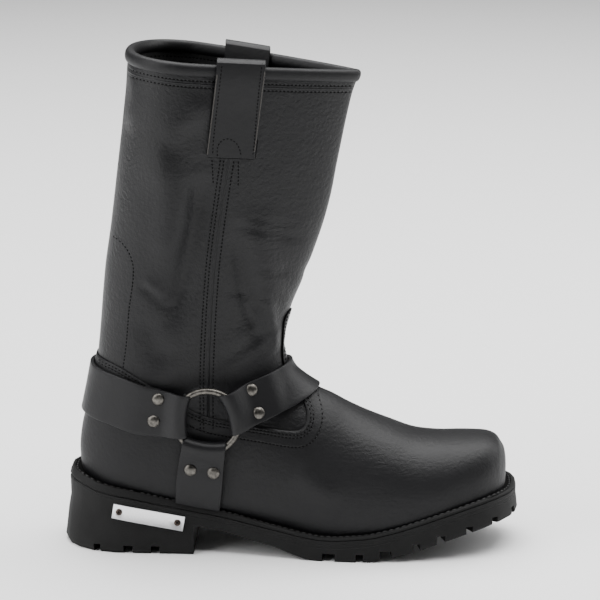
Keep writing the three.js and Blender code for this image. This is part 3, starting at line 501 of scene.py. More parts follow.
# Places of stitch rows in millimetres from the vamp's edge, the rim and the side seam
VAMP_STITCHES = (-2.2, -4.2, -10.2)
RIM_STITCHES = (9.4, 13.8)
SEAM_STITCHES = (-5.6, -3.2, 3.4)
SHAFT_LINES = [("rim", at, 0.8, -0.16) for at in RIM_STITCHES]
SHAFT_LINES += [("seam", at, 0.8, -0.16) for at in SEAM_STITCHES]
SHAFT_LINES += [("seam", 0, 1.1, 0.85), ("patch", 0, 0.9, -0.2), ("rim", 11.6, 0.7, 0.3)]
VAMP_LINES = [("edge", at, 0.8, -0.16) for at in VAMP_STITCHES]

# Oiled full-grain cowhide: shaft, then vamp and counter, drawn smoother
SHAFT_LEATHER = leather("black_oiled_leather", "0d0d0e", "141416", 0.46, 0.9, 0.09, SHAFT_LINES, 0.12)
FOOT_LEATHER = leather("black_oiled_vamp_leather", "0d0d0e", "141416", 0.52, 0.9, 0.055, VAMP_LINES, 0.08)
# Thin cowhide rolled over the rim, and firm strap leather
OILED_LEATHER = leather("black_binding_leather", "0d0d0e", "131315", 0.5, 0.8, 0.04)
STRAP_LEATHER = leather("black_strap_leather", "0f0f10", "151517", 0.46, 0.6, 0.03)
# Dull lining leather
LINING_LEATHER = leather("black_lining_leather", "0d0d0e", "121213", 0.7, 0.8, 0.04, [("rim", 14, 0.8, -0.4)])
# Cut leather edges dyed black, the same black also laid as painted shadow under the pull straps' lower ends;
# pale cords laid as painted highlights along the pull straps' raised edges
DYED_EDGE_AND_PAINTED_SHADOW = plain("black_dyed_edge_and_painted_shadow", "050505", 0.85, 0.1)
PAINTED_EDGE_HIGHLIGHT = plain("painted_edge_highlight", "3d3a37", 0.6, 0.4)
# Waxed thread, thick on the welt and fine elsewhere
WELT_THREAD = plain("dark_waxed_welt_thread", "131313", 0.5, 0.35)
THREAD = plain("black_waxed_thread", "050505", 0.8, 0.12)
# Moulded sole rubber, welt rubber made duller and darker as painted shade for the gap under the upper, and
# leather board
RUBBER = rubber("black_sole_rubber", "0a0a0a", 0.7)
WELT_PAINTED_SHADE = plain("welt_rubber_painted_shade", "050505", 0.85, 0.1)
INSOLE = plain("insole_leather", "241d18", 0.8)
# Antique nickel rings and rivets, satin aluminium plate, dark steel screws, and black crosses as painted
# shade of the screws' recesses
NICKEL = metal("antique_nickel", "4a4845", "6c6964", 0.36, 2.381)
ALUMINIUM = metal("satin_aluminium", "ececee", "f6f6f7", 0.34, 1.111)
SCREW_METAL = metal("dark_steel", "3a322e", "5a504a", 0.4, 1.667)
PAINTED_RECESS_SHADE = plain("painted_recess_shade", "050505", 0.85, 0.1)

# Creases of the outer side and of both sides: ridge or trough height and half width in
# millimetres, then the line it follows by x of FOOT_LENGTH and height of UPPER_HEIGHT
OUTER, BOTH, INNER = -1, 0, 1
CREASES = [
    (OUTER, 3.4, 12, [(0.197, 0.88), (0.224, 0.798), (0.235, 0.72), (0.227, 0.636), (0.21, 0.54)]),
    (OUTER, 1.5, 10, [(0.319, 0.996), (0.292, 0.947), (0.252, 0.899), (0.223, 0.846)]),
    (OUTER, -1.6, 10, [(0.279, 0.925), (0.293, 0.86), (0.303, 0.8)]),
    (OUTER, -5.6, 9, [(0.308, 0.86), (0.298, 0.757), (0.288, 0.685), (0.273, 0.611), (0.258, 0.537),
                       (0.234, 0.461), (0.215, 0.383)]),
    (OUTER, 2.6, 11, [(0.43, 0.76), (0.425, 0.674), (0.436, 0.618), (0.446, 0.552), (0.458, 0.478)]),
    (OUTER, -4.0, 7, [(0.375, 0.72), (0.388, 0.612), (0.401, 0.522), (0.418, 0.451), (0.444, 0.393)]),
    (OUTER, 2.4, 6, [(0.428, 0.56), (0.45, 0.453), (0.462, 0.39)]),
    (OUTER, -1.5, 3.2, [(0.145, 0.512), (0.181, 0.503), (0.208, 0.481), (0.235, 0.462)]),
    (OUTER, 1.1, 4, [(0.16, 0.53), (0.2, 0.508), (0.238, 0.482)]),
    (OUTER, -1.8, 9, [(0.17, 0.45), (0.188, 0.378), (0.223, 0.327)]),
    (OUTER, 1.6, 5, [(0.143, 1.04), (0.156, 0.947), (0.132, 0.85)]),
    (OUTER, 1.6, 10, [(0.5, 0.165), (0.562, 0.125), (0.62, 0.085)]),
    (OUTER, -0.8, 3.5, [(0.35, 0.702), (0.407, 0.694), (0.462, 0.692), (0.54, 0.676)]),
    (OUTER, -0.6, 3, [(0.39, 0.72), (0.45, 0.716), (0.51, 0.708)]),
    (OUTER, -0.6, 3, [(0.42, 0.611), (0.455, 0.601), (0.5, 0.597)]),
    (OUTER, -0.6, 3, [(0.34, 0.541), (0.405, 0.532), (0.49, 0.535)]),
    (INNER, -3.0, 13, [(0.25, 0.86), (0.262, 0.7), (0.24, 0.55), (0.22, 0.4)]),
    (INNER, 2.6, 14, [(0.17, 0.86), (0.16, 0.7), (0.18, 0.55)]),
    (INNER, -2.6, 8, [(0.4, 0.66), (0.41, 0.55), (0.43, 0.43)]),
    (INNER, 2.4, 12, [(0.45, 0.72), (0.44, 0.6), (0.46, 0.48)]),
    (INNER, -1.2, 4, [(0.13, 0.47), (0.2, 0.45), (0.26, 0.42)]),
    (INNER, 1.5, 10, [(0.48, 0.15), (0.55, 0.12), (0.62, 0.085)]),
    (BOTH, -0.6, 6, [(0.46, 0.62), (0.54, 0.6), (0.62, 0.6)]),
]

# Places where the leather has flexed: x, height, reach along and up in millimetres, strength
FLEX_ROWS = [
    (0.69, 0.14, 42, 24, 1.0), (0.45, 0.69, 34, 13, 0.9), (0.46, 0.6, 18, 7, 0.7),
    (0.41, 0.535, 26, 7, 0.7), (0.16, 0.69, 24, 9, 0.5), (0.14, 0.43, 18, 12, 0.4),
    (0.52, 0.36, 20, 22, 0.2),
]
SIDE_SEAM_ROWS = [
    (0.385, 1.02), (0.362, 0.847), (0.355, 0.8), (0.346, 0.74), (0.336, 0.668), (0.326, 0.584),
    (0.318, 0.486), (0.312, 0.388), (0.309, 0.304), (0.309, 0.2),
]
PATCH_ROWS = [
    (0.05, 0.604), (0.092, 0.602), (0.117, 0.596), (0.134, 0.58), (0.143, 0.553), (0.142, 0.52),
    (0.131, 0.445), (0.122, 0.358), (0.112, 0.29),
]
SEAM_LINE = side_spline(SIDE_SEAM_ROWS, 3)
PATCH_LINE = side_spline(PATCH_ROWS, 3)


# Creases begin below the rim: its height at the back, its fall forward, and how far below it
RIM_HEIGHT = side_point(0.13, 1.029)[1] + 6
RIM_BACK = 40
RIM_FALL = 0.1
CREASE_START, CREASE_FULL = 2, 26
CREASE_END = 0.3
SIDE_BLEND = 14


def smooth_share(low, high, value):
    t = np.clip((value - low) / (high - low), 0, 1)
    return t * t * (3 - 2 * t)


def creased(points):
    """How far the leather stands out or in at each place, in millimetres."""
    side = points[..., [0, 2]]
    total = np.zeros(points.shape[:-1])
    for face, height, width, rows in CREASES:
        gap, where = line_distance(side, side_spline(rows, 4))
        ends = smooth_share(0, CREASE_END, where) * smooth_share(0, CREASE_END, 1 - where)
        near_side = 1 if face == BOTH else smooth_share(0, SIDE_BLEND, face * points[..., 1])
        total += height * np.exp(-((gap / width) ** 2)) * ends * near_side
    below_rim = RIM_HEIGHT - side[..., 1] - (side[..., 0] - RIM_BACK) * RIM_FALL
    return total * smooth_share(CREASE_START, CREASE_FULL, below_rim)


def signed_distance(side, line):
    gap, _ = line_distance(side, line)
    order = np.argsort(line[:, 1])
    ahead = side[..., 0] > np.interp(side[..., 1], line[order, 1], line[order, 0])
    return np.where(ahead, gap, -gap)


def marks(points):
    """Millimetre fields for the leather's shader."""
    side = points[..., [0, 2]]
    flex = np.zeros(points.shape[:-1])
    for x, h, reach_x, reach_z, strength in FLEX_ROWS:
        away = (side - side_point(x, h)) / np.array([reach_x, reach_z])
        flex = np.maximum(flex, strength * np.exp(-(away**2).sum(axis=-1)))
    rim = RINGS[TOP][:, 2]
    rim_x = RINGS[TOP][:, 0]
    order = np.argsort(rim_x)
    drop = np.interp(side[..., 0], rim_x[order], rim[order]) - side[..., 1]
    return {"flex": flex, "seam": signed_distance(side, SEAM_LINE), "rim": drop,
            "patch": line_distance(side, PATCH_LINE)[0]}


# Upper: the shaft, and over its lower edge the vamp and counter
COLUMNS, ROW_STEP = 168, 2.1
CREASE_GAIN, BED_CREASE = 1.2, 0.35
TOE_BULGE, TOE_STATION = 0.0006, 0.01
UNDERLAP = 8
SEAT_CLEARANCE, LINING_CLEARANCE = 0.3, 1
GRID_V, GRID_U, GRID_GAP = snapped_grid(ROW_STEP, COLUMNS + 1)
GRID_POINTS = last_point(GRID_V, GRID_U)
GRID_NORMALS = last_normal(GRID_V, GRID_U)
GRID_CREASE = creased(GRID_POINTS)
GRID_MARKS = marks(GRID_POINTS)
GRID_MARKS["edge"] = GRID_GAP
GRID_MARKS["station"] = GRID_V


def leather_surface(keep, offset, crease=CREASE_GAIN):
    """The kept part of the last, offset in millimetres, split along the vamp edge, toe closed."""
    rows, columns = GRID_V.shape
    bm, place = grid_mesh(rows, columns, GRID_MARKS)
    points = placed(GRID_POINTS + GRID_NORMALS * (offset + crease * GRID_CREASE)[..., None])
    layers = {key: bm.verts.layers.float[key] for key in GRID_MARKS}
    spot_of = {}
    for spot, vert in place.items():
        vert.co = points[spot]
        spot_of[vert] = spot
        for key, layer in layers.items():
            vert[layer] = GRID_MARKS[key][spot]
    for face in list(bm.faces):
        gaps = [GRID_GAP[spot_of[v]] for v in face.verts]
        if max(gaps) > 0 > min(gaps):
            ends = [v for v in face.verts if GRID_GAP[spot_of[v]] == 0]
            if len(ends) == 2:
                bmesh.ops.connect_verts(bm, verts=ends)
    drop = [f for f in bm.faces if not any(keep[spot_of[v]] for v in f.verts)]
    bmesh.ops.delete(bm, geom=drop, context="FACES")
    bmesh.ops.remove_doubles(bm, verts=bm.verts, dist=WELD)
    station = bm.verts.layers.float["station"]
    toe = [e for e in bm.edges if e.is_boundary and max(v[station] for v in e.verts) < TOE_STATION]
    closed = bmesh.ops.holes_fill(bm, edges=toe, sides=0)["faces"]
    bmesh.ops.poke(bm, faces=closed, offset=TOE_BULGE)
    smooth_rim(bm)
    return bm


def smooth_rim(bm, rounds=12):
    """Evens out the open edges, each place towards its two neighbours."""
    beside_vert = {}
    for edge in bm.edges:
        if edge.is_boundary:
            for vert in edge.verts:
                beside_vert.setdefault(vert, []).append(edge.other_vert(vert))
    for _ in range(rounds):
        moved = {vert: (vert.co * 2 + pair[0].co + pair[1].co) / 4
                 for vert, pair in beside_vert.items() if len(pair) == 2}
        for vert, place in moved.items():
            vert.co = place


above_seat = GRID_POINTS[..., 2] > seat(GRID_POINTS[..., 0]) + SEAT_CLEARANCE
foot = shown("vamp_and_counter", leather_surface((GRID_GAP < 0) & above_seat, OVERLAY), FOOT_LEATHER)
hem = foot.modifiers.new("hem", "SOLIDIFY")
hem.thickness = OVERLAY * MM
hem.offset = -1
hem.material_offset_rim = 1
foot.data.materials.append(DYED_EDGE_AND_PAINTED_SHADOW)
shaft = shown("shaft", leather_surface((GRID_GAP > -UNDERLAP) & above_seat, 0), SHAFT_LEATHER)
lining_keep = GRID_POINTS[..., 2] > seat(GRID_POINTS[..., 0]) + LINING_CLEARANCE
lining_bm = leather_surface(lining_keep, -LEATHER)
bmesh.ops.reverse_faces(lining_bm, faces=lining_bm.faces)
lining = shown("lining", lining_bm, LINING_LEATHER)
for piece in (foot, shaft, lining):
    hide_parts("upper")


def rounded(piece, width, sharp):
    rounding = piece.modifiers.new("rounding", "BEVEL")
    rounding.width = width * MM
    rounding.segments = 3
    rounding.limit_method = "ANGLE"
    rounding.angle_limit = math.radians(sharp)


def thickened(piece, thickness):
    wall = piece.modifiers.new("thickness", "SOLIDIFY")
    wall.thickness = thickness * MM
    wall.offset = -1


LIP_HEIGHT = 2.8
SHARP = 32


def dressed(name, nodes, material, bevel):
    """A copy of CAD nodes with rounded edges and smooth shading."""
    bm = bmesh.new()
    for source in (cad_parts[key] for key in nodes):
        part = source.data.copy()
        part.transform(source.matrix_world)
        bm.from_mesh(part)
        bpy.data.meshes.remove(part)
    bmesh.ops.remove_doubles(bm, verts=bm.verts, dist=CAD_WELD)
    if "outsole" in nodes:
        layer = bm.verts.layers.float.new("below_lip")
        for vert in bm.verts:
            place = np.array(vert.co) / MM - ORIGIN
            vert[layer] = float(seat(place[0])) + LIP_HEIGHT - place[2]
    piece = shown(name, bm, material, SHARP)
    if bevel:
        rounded(piece, bevel, SHARP)
    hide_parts(*nodes)
    return piece


FACES = {"lateral": -1, "medial": 1}
sole = dressed("sole_unit", ["outsole"], RUBBER, 0.5)
# The welt's darker rubber is painted shade for the gap between the upper and the sole's lip
welt = dressed("welt_strip", ["welt"], WELT_PAINTED_SHADE, 0.3)
dressed("insole_board", ["insole"], INSOLE, 0)
pulls = [dressed(f"pull_loop_{side}", [f"pull_strap_{side}"], STRAP_LEATHER, 0.5)
         for side in FACES]
dressed("plate", ["heel_plate"], ALUMINIUM, 0.15)


def spun(profile, steps, matrix):
    """A turned shape from (radius, height) rows in millimetres, about Z."""
    bm = bmesh.new()
    verts = [bm.verts.new((r * MM, 0, z * MM)) for r, z in profile]
    edges = [bm.edges.new(pair) for pair in zip(verts, verts[1:])]
    bmesh.ops.spin(bm, geom=verts + edges, cent=(0, 0, 0), axis=(0, 0, 1), angle=2 * math.pi,
                   steps=steps, use_merge=True)
    bmesh.ops.remove_doubles(bm, verts=bm.verts, dist=TURNED_WELD)
    bmesh.ops.recalc_face_normals(bm, faces=bm.faces)
    bmesh.ops.transform(bm, matrix=matrix, verts=bm.verts)
    return bm


def merged(name, parts, material, slot, replaces=(), sharp=40):
    whole = bmesh.new()
    for bm in parts:
        part = bpy.data.meshes.new("part")
        bm.to_mesh(part)
        bm.free()
        whole.from_mesh(part)
        bpy.data.meshes.remove(part)
    piece = shown(name, whole, material, sharp)
    if replaces:
        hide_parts(*replaces)
    return piece


def pin_stand(key):
    """Where a rivet or screw head stands, from the two ends of its CAD solid."""
    bm = bmesh.new()
    bm.from_mesh(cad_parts[key].data)
    bmesh.ops.remove_doubles(bm, verts=bm.verts, dist=CAD_WELD)
    ends = sorted(bm.verts, key=lambda v: -len(v.link_edges))[:2]
    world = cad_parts[key].matrix_world
    inner, tip = sorted((world @ v.co.copy() for v in ends), key=lambda p: abs(p.y))
    bm.free()
    turn = (tip - inner).normalized().to_track_quat("Z", "Y")
    return Matrix.Translation(tip) @ turn.to_matrix().to_4x4()


RIVET_ROWS = [
    (0, 0), (1.6, -0.12), (2.7, -0.42), (3.5, -0.85), (4.05, -1.3), (4.35, -1.7), (4.4, -1.95),
    (4.1, -2.1), (3.2, -2.4),
]
SCREW_ROWS = [(0, 0), (1.1, -0.05), (1.8, -0.2), (2.2, -0.5), (2.3, -0.8)]
CROSS_SIZE, CROSS_TURNS = (3.1, 0.6, 0.16), (0.3, 0.9)
PIN_STEPS = 32
RIVETS = [f"rivet_{strap}_{side}_{i}" for strap in ("back", "instep", "under") for side in FACES
          for i in (1, 2)]
SCREWS = ["plate_screw_1", "plate_screw_2"]


def pins(keys, rows):
    return [spun(rows, PIN_STEPS, pin_stand(key)) for key in keys]


def crosses(keys):
    size = Matrix.Diagonal((*(length * MM for length in CROSS_SIZE), 1))
    made = []
    for key, turned in zip(keys, CROSS_TURNS):
        for quarter in (0, math.pi / 2):
            bm = bmesh.new()
            turn = Matrix.Rotation(turned + quarter, 4, "Z")
            bmesh.ops.create_cube(bm, size=1, matrix=pin_stand(key) @ turn @ size)
            made.append(bm)
    return made


merged("rivet_heads", pins(RIVETS, RIVET_ROWS), NICKEL, "dark_nickel", RIVETS)
merged("screw_heads", pins(SCREWS, SCREW_ROWS), SCREW_METAL, "plate_aluminium", SCREWS)
# Black crosses laid on the screw heads: painted shade of the cross recesses, which are not cut
merged("screw_crosses", crosses(SCREWS), PAINTED_RECESS_SHADE, "plate_aluminium")

RING_RADIUS, RING_WIRE = 22, 4.5
RING_STEPS, WIRE_STEPS = 120, 24
RING_CENTRE = side_point(0.309, 0.227)
ring_depth = {}
for side, face in FACES.items():
    lo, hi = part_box(f"ring_{side}")
    centre = (Vector(lo) + Vector(hi)) / 2
    ring_depth[face] = centre.y / MM - ORIGIN[1]
    wire = [(RING_RADIUS + RING_WIRE / 2 * math.cos(a), RING_WIRE / 2 * math.sin(a))
            for a in np.linspace(0, 2 * math.pi, WIRE_STEPS + 1)]
    stand = Matrix.Translation(centre) @ Matrix.Rotation(math.pi / 2, 4, "X")
    ring = spun(wire, RING_STEPS, stand)
    merged(f"harness_ring_{side}", [ring], NICKEL, "dark_nickel", [f"ring_{side}"], SMOOTH)


def sweep(lines):
    """A strip through rows of placed points, with its normals away from the boot's middle."""
    bm, place = grid_mesh(len(lines), len(lines[0]))
    for (row, column), vert in place.items():
        vert.co = placed(lines[row][column])
    bm.normal_update()
    if sum(face.normal.y * face.calc_center_median().y for face in bm.faces) < 0:
        bmesh.ops.reverse_faces(bm, faces=bm.faces)
    return bm


# Harness straps, each followed in the side view from its fold round the ring to its far end, in
# rows of x, height and share of the width. Distances are in millimetres from the fold.
STRAP_WIDTH, STRAP_THICKNESS, STRAP_END_WIDTH = 34.5, 3.0, 0.86
FOLD = RING_WIRE / 2 + STRAP_THICKNESS
FOLD_PLACE, FOLD_BOW, BOW_FADE = 14.6, 2.2, (4, 22)
FOLD_STEPS, BEND_STEPS = 13, 41
STRAP_SLACK, STRAP_ROUNDING, STRAP_SHARP = 0.15, 0.6, 50
SETTLED, THINNING = 19, 30
SINGLE_LIFT = 0.3 + STRAP_THICKNESS
DOUBLE_LIFT = 0.3 + 2 * STRAP_THICKNESS
LAYER_SHARE, LAYER_STOPS, LAYER_SINK = 0.985, np.linspace(20, 33, 8), 0.3
SLOPE_REACH, SLOPE_GUIDE, SLOPE_NUDGE = 6.0, (0.29, 0.13, 0.95), 0.001
ACROSS = np.linspace(-1, 1, 13)
BACK_STRAP = [(0.171, 0.2185, 1), (0.08, 0.222, 1.02), (0.023, 0.206, 1), (-0.09, 0.195, 1)]
INSTEP_STRAP = [(0.42, 0.289, 0.84), (0.498, 0.336, 0.8), (0.526, 0.357, 0.78), (0.62, 0.414, 0.78)]
UNDER_STRAP = [(0.2925, 0.1, 0.93), (0.2865, 0.034, 0.93), (0.276, -0.04, 0.88)]
EVERYWHERE = np.ones(GRID_V.shape, bool)

bed_tree = BVHTree.FromBMesh(leather_surface(EVERYWHERE, OVERLAY, BED_CREASE))


def directions(line):
    """Unit directions along a side-view line and to the right of its run."""
    along = unit(np.gradient(line, axis=0))
    return along, np.stack([along[:, 1], -along[:, 0]], axis=-1)


def cast(tree, start, direction):
    """Place and normal where a ray from a place in millimetres meets a tree."""
    return tree.ray_cast(Vector(placed(start)), Vector(direction))[:2]


def strap_line(rows, angle):
    """Centre points with half widths at even steps from the fold to the far end."""
    turn = np.array([math.cos(math.radians(angle)), math.sin(math.radians(angle))])
    start = [np.append(RING_CENTRE + turn * FOLD_PLACE, STRAP_END_WIDTH * STRAP_WIDTH / 2)]
    rest = [np.append(side_point(x, h), width * STRAP_WIDTH / 2) for x, h, width in rows]
    return spline(np.array(start + rest), 1.0)


def strap_stops(end, count):
    return np.concatenate([np.linspace(FOLD + 1, 22, 9), np.linspace(24, end, count)])


def on_bed(start, direction, lift):
    """A point lifted off the leather, whose slope is felt by rays to both sides."""
    direction = np.array(direction, float)
    out = direction if abs(start[1]) < 1 else -direction
    first = unit(np.cross(direction, SLOPE_GUIDE))
    second = np.cross(direction, first)
    hits = []
    for shift in (0, first, -first, second, -second):
        hit, _ = cast(bed_tree, np.array(start) + SLOPE_REACH * np.array(shift), direction)
        hits.append(None if hit is None else np.array(hit) / MM - ORIGIN)
        if hits[0] is None:
            return None
        if hits[-1] is None:
            hits[-1] = hits[0]
            hits[0] = hits[0] + out * SLOPE_NUDGE
    normal = unit(np.cross(hits[1] - hits[2], hits[3] - hits[4]))
    return hits[0] + normal * np.sign(normal @ out) * lift


def side_bed(place, face, lift):
    return on_bed((place[0], face * OUTSIDE, place[1]), (0, -face, 0), lift)


def track(line, share):
    """Gives the side-view place at any distance, at a share of the strap's half width."""
    along, right = directions(line[:, :2])
    rows = np.hstack([line, right, along])

    def at(s):
        bow = -FOLD_BOW * share**2 * (1 - smooth_share(*BOW_FADE, s))
        now = rows_at(np.clip(s, 0, len(line) - 1), np.arange(len(line)), rows)
        return now[:2] - now[3:5] * now[2] * share + now[5:] * bow

    return at


def strap_side(at, face, stops, thin_at):
    """Points from the back of the fold over the ring and along the boot on one side."""
    depth = ring_depth[face]
    points = []
    for angle in np.linspace(-math.pi / 2, math.pi / 2, FOLD_STEPS):
        x, z = at(FOLD - FOLD * math.cos(angle))
        points.append((x, depth + face * FOLD * math.sin(angle), z))
    for s in stops:
        x, z = at(s)
        lift = DOUBLE_LIFT + (SINGLE_LIFT - DOUBLE_LIFT) * smooth_share(THINNING, thin_at, s)
        blend = smooth_share(FOLD + 1, SETTLED, s)
        over_ring = np.array((x, depth + face * FOLD, z))
        points.append(side_bed((x, z), face, lift) * blend + over_ring * (1 - blend))
    return points


def round_strap(rows, angle, turn_at):
    """A strap that leaves the ring on one side and comes back to it on the other."""
    line = strap_line(rows, angle)
    lines = []
    for share in ACROSS:
        at = track(line, share)
        first, second = [strap_side(at, face, strap_stops(turn_at, 16), turn_at) for face in (-1, 1)]
        centre, ahead = at(turn_at), at(turn_at + 1)
        outward = unit(ahead - centre)
        bend = []
        for turn in np.linspace(0, math.pi, BEND_STEPS)[1:-1]:
            direction = (outward[0] * math.sin(turn), -math.cos(turn), outward[1] * math.sin(turn))
            bend.append(on_bed((centre[0], 0, centre[1]), direction, SINGLE_LIFT))
        lines.append(first + bend + second[::-1])
    return sweep(lines)


def down_strap(rows, angle, thin_at, face):
    line = strap_line(rows, angle)
    stops = strap_stops(len(line) - 4, 12)
    return sweep([strap_side(track(line, share), face, stops, thin_at) for share in ACROSS])


def lower_layer(rows, angle, face):
    """The end of the strap that is turned back under it to the rivets."""
    tracks = [track(strap_line(rows, angle), share) for share in ACROSS * LAYER_SHARE]
    return sweep([[side_bed(at(s), face, SINGLE_LIFT - LAYER_SINK) for s in LAYER_STOPS] for at in tracks])


# Rows, direction from the ring in degrees, and where the strap is thin or turns round the boot
BACK, INSTEP, UNDER = (BACK_STRAP, 166, 54), (INSTEP_STRAP, 20, 42), (UNDER_STRAP, 262, 58)
STRAP_LOOK = (STRAP_LEATHER, "strap_leather")
straps = [merged("back_strap", [round_strap(*BACK)], *STRAP_LOOK, ["strap_back"]),
          merged("instep_strap", [round_strap(*INSTEP)], *STRAP_LOOK, ["strap_instep"])]
for side, face in FACES.items():
    straps.append(merged(f"under_strap_{side}", [down_strap(*UNDER, face)], *STRAP_LOOK,
                         [f"strap_under_{side}"]))
layers = [lower_layer(*strap[:2], face) for strap in (BACK, INSTEP, UNDER) for face in (-1, 1)]
straps.append(merged("strap_ends", layers, *STRAP_LOOK))
for piece in straps:
    thickened(piece, STRAP_THICKNESS - STRAP_SLACK)
    rounded(piece, STRAP_ROUNDING, STRAP_SHARP)

# Rolled binding: half width and height, how far its middle is down, how square it is
ROLL_STEPS, ROLL_AROUND = 220, 22
ROLL_WIDTH, ROLL_HEIGHT, ROLL_DROP = 3.7, 4.5, 2.4
ROLL_POWER_ACROSS, ROLL_POWER_UP = 0.8, 0.85


def binding():
    u = np.linspace(0, AROUND, ROLL_STEPS)
    top = np.full(ROLL_STEPS, float(TOP))
    rim, out = last_point(top, u), last_normal(top, u)
    up = unit(rim - last_point(top - 0.2, u))
    bm, place = grid_mesh(ROLL_STEPS, ROLL_AROUND + 1)
    for (row, column), vert in place.items():
        c, s = (turn(2 * math.pi * column / ROLL_AROUND) for turn in (math.cos, math.sin))
        across = math.copysign(abs(c) ** ROLL_POWER_ACROSS, c) * ROLL_WIDTH - LEATHER / 2
        high = math.copysign(abs(s) ** ROLL_POWER_UP, s) * ROLL_HEIGHT - ROLL_DROP
        vert.co = placed(rim[row] + out[row] * across + up[row] * high)
    bmesh.ops.remove_doubles(bm, verts=bm.verts, dist=WELD)
    bmesh.ops.recalc_face_normals(bm, faces=bm.faces)
    return bm


merged("binding_roll", [binding()], OILED_LEATHER, "oiled_leather", ["collar_binding"], SMOOTH)

# Stitches, with pitch, length and thickness in millimetres
UPPER_THREAD = (2.6, 1.8, 0.9)
PULL_THREAD = (2.5, 1.7, 0.8)
# Pale cords just inside the pull straps' long edges: painted highlights of the raised edges, laid like
# stitches
EDGE_HIGHLIGHT_ROW, EDGE_HIGHLIGHT_INSET = (1.6, 2.6, 0.75), 0.45
# Dark cords just below the pull straps' lower ends: a painted shadow, laid like stitches
END_SHADOW_ROW, END_SHADOW_DROP = (1.6, 2.8, 1.5), 0.2
WELT_STITCH = (4.4, 3.7, 1.5)
PULL_REACH, PULL_FOOT_REACH = (80, 145), 12
MIDDLE_SLACK = 0.002


def surface_tree(*pieces):
    """A search tree over pieces, modifiers included."""
    graph = bpy.context.evaluated_depsgraph_get()
    bm = bmesh.new()
    for piece in pieces:
        bm.from_object(piece, graph)
    tree = BVHTree.FromBMesh(bm)
    bm.free()
    return tree


def side_hit(tree, x, z, face, start=OUTSIDE):
    """Place and normal where a ray square to the side view meets a piece, from outside or, if
    the start is 0, from the middle of the boot; None if it meets the far side."""
    aim = -face if start else face
    hit, normal = cast(tree, (x, face * start, z), (0, aim, 0))
    if hit is None or hit.y * face <= -MIDDLE_SLACK:
        return None
    return hit, normal if normal.y * aim < 0 else -normal


def stitch_run(places, pitch, length, thick, closest=0.3, farthest=2.5):
    """Threads between neighbouring (place, normal) pairs, if near enough."""
    made = []
    for (a, normal), (b, _) in zip(places, places[1:]):
        if closest * pitch * MM < (b - a).length < farthest * pitch * MM:
            made.append(((a + b) / 2, (b - a).normalized(), normal, length, thick))
    return made


def stitch_row(tree, line, face, sizes=UPPER_THREAD, start=OUTSIDE):
    hits = [side_hit(tree, x, z, face, start) for x, z in spline(line, sizes[0])]
    return stitch_run([hit for hit in hits if hit], *sizes)


def outer_edges(tree, face):
    """Side-view lines just inside the long edges of a pull strap."""
    rows = []
    for z in np.arange(PULL_FOOT, PULL_TOP, 1.5):
        hits = [x for x in np.arange(*PULL_REACH, 0.4) if side_hit(tree, x, z, face)]
        if hits:
            rows.append(((hits[0] + EDGE_HIGHLIGHT_INSET, z), (hits[-1] - EDGE_HIGHLIGHT_INSET, z)))
    return [np.array(line) for line in zip(*rows)]


def lower_edge(tree, face):
    """Side-view line along the lower end of a pull strap."""
    heights = np.arange(PULL_FOOT - PULL_FOOT_REACH, PULL_FOOT + PULL_FOOT_REACH, 0.2)
    lowest = [(x, next((z for z in heights if side_hit(tree, x, z, face)), None))
              for x in np.arange(*PULL_REACH, 1.0)]
    return np.array([place for place in lowest if place[1] is not None])


def threads(name, rows, material=THREAD):
    unit = bmesh.new()
    bmesh.ops.create_icosphere(unit, subdivisions=2, radius=0.5)
    seed = bpy.data.meshes.new("thread")
    unit.to_mesh(seed)
    unit.free()
    whole = bmesh.new()
    for place, along, normal, length, thick in (item for row in rows for item in row):
        across = normal.cross(along).normalized()
        rest = along.cross(across)
        turn = Matrix((along * length * MM, across * thick * MM, rest * thick * MM)).transposed()
        part = seed.copy()
        part.transform(Matrix.Translation(place) @ turn.to_4x4())
        whole.from_mesh(part)
        bpy.data.meshes.remove(part)
    bpy.data.meshes.remove(seed)
    piece = shown(name, whole, material)


def beside(line, shift):
    return line + shift * directions(line)[1]


upper_tree = surface_tree(foot, shaft)
pull_tree = surface_tree(*pulls)
lining_tree = surface_tree(lining)
seam_down = SEAM_LINE[SEAM_LINE[:, 1] < side_point(0.36, 0.85)[1]]
rim_order = np.argsort(RINGS[TOP][:HALF + 1, 0])
rim_line = RINGS[TOP][:HALF + 1][rim_order][::6][:, [0, 2]]
PULL_EDGES = [[(0.353, 1.08), (0.3455, 1.02), (0.3375, 0.956), (0.3295, 0.886), (0.3275, 0.857)],
              [(0.4395, 1.1), (0.432, 1.04), (0.425, 0.973), (0.419, 0.903), (0.415, 0.868)]]
PULL_TAB = [(0.338, 0.852), (0.338, 0.872), (0.347, 0.89), (0.363, 0.897), (0.379, 0.89),
            (0.388, 0.872), (0.388, 0.855)]
INNER_LEGS = [[(0.325, 0.842), (0.326, 0.815), (0.327, 0.786)],
              [(0.383, 0.848), (0.3825, 0.82), (0.382, 0.79)]]
PULL_FOOT, PULL_TOP = side_point(0.34, 0.86)[1], side_point(0.39, 1.05)[1]
upper_rows, pull_rows, painted_highlight_rows, painted_shadow_rows = [], [], [], []
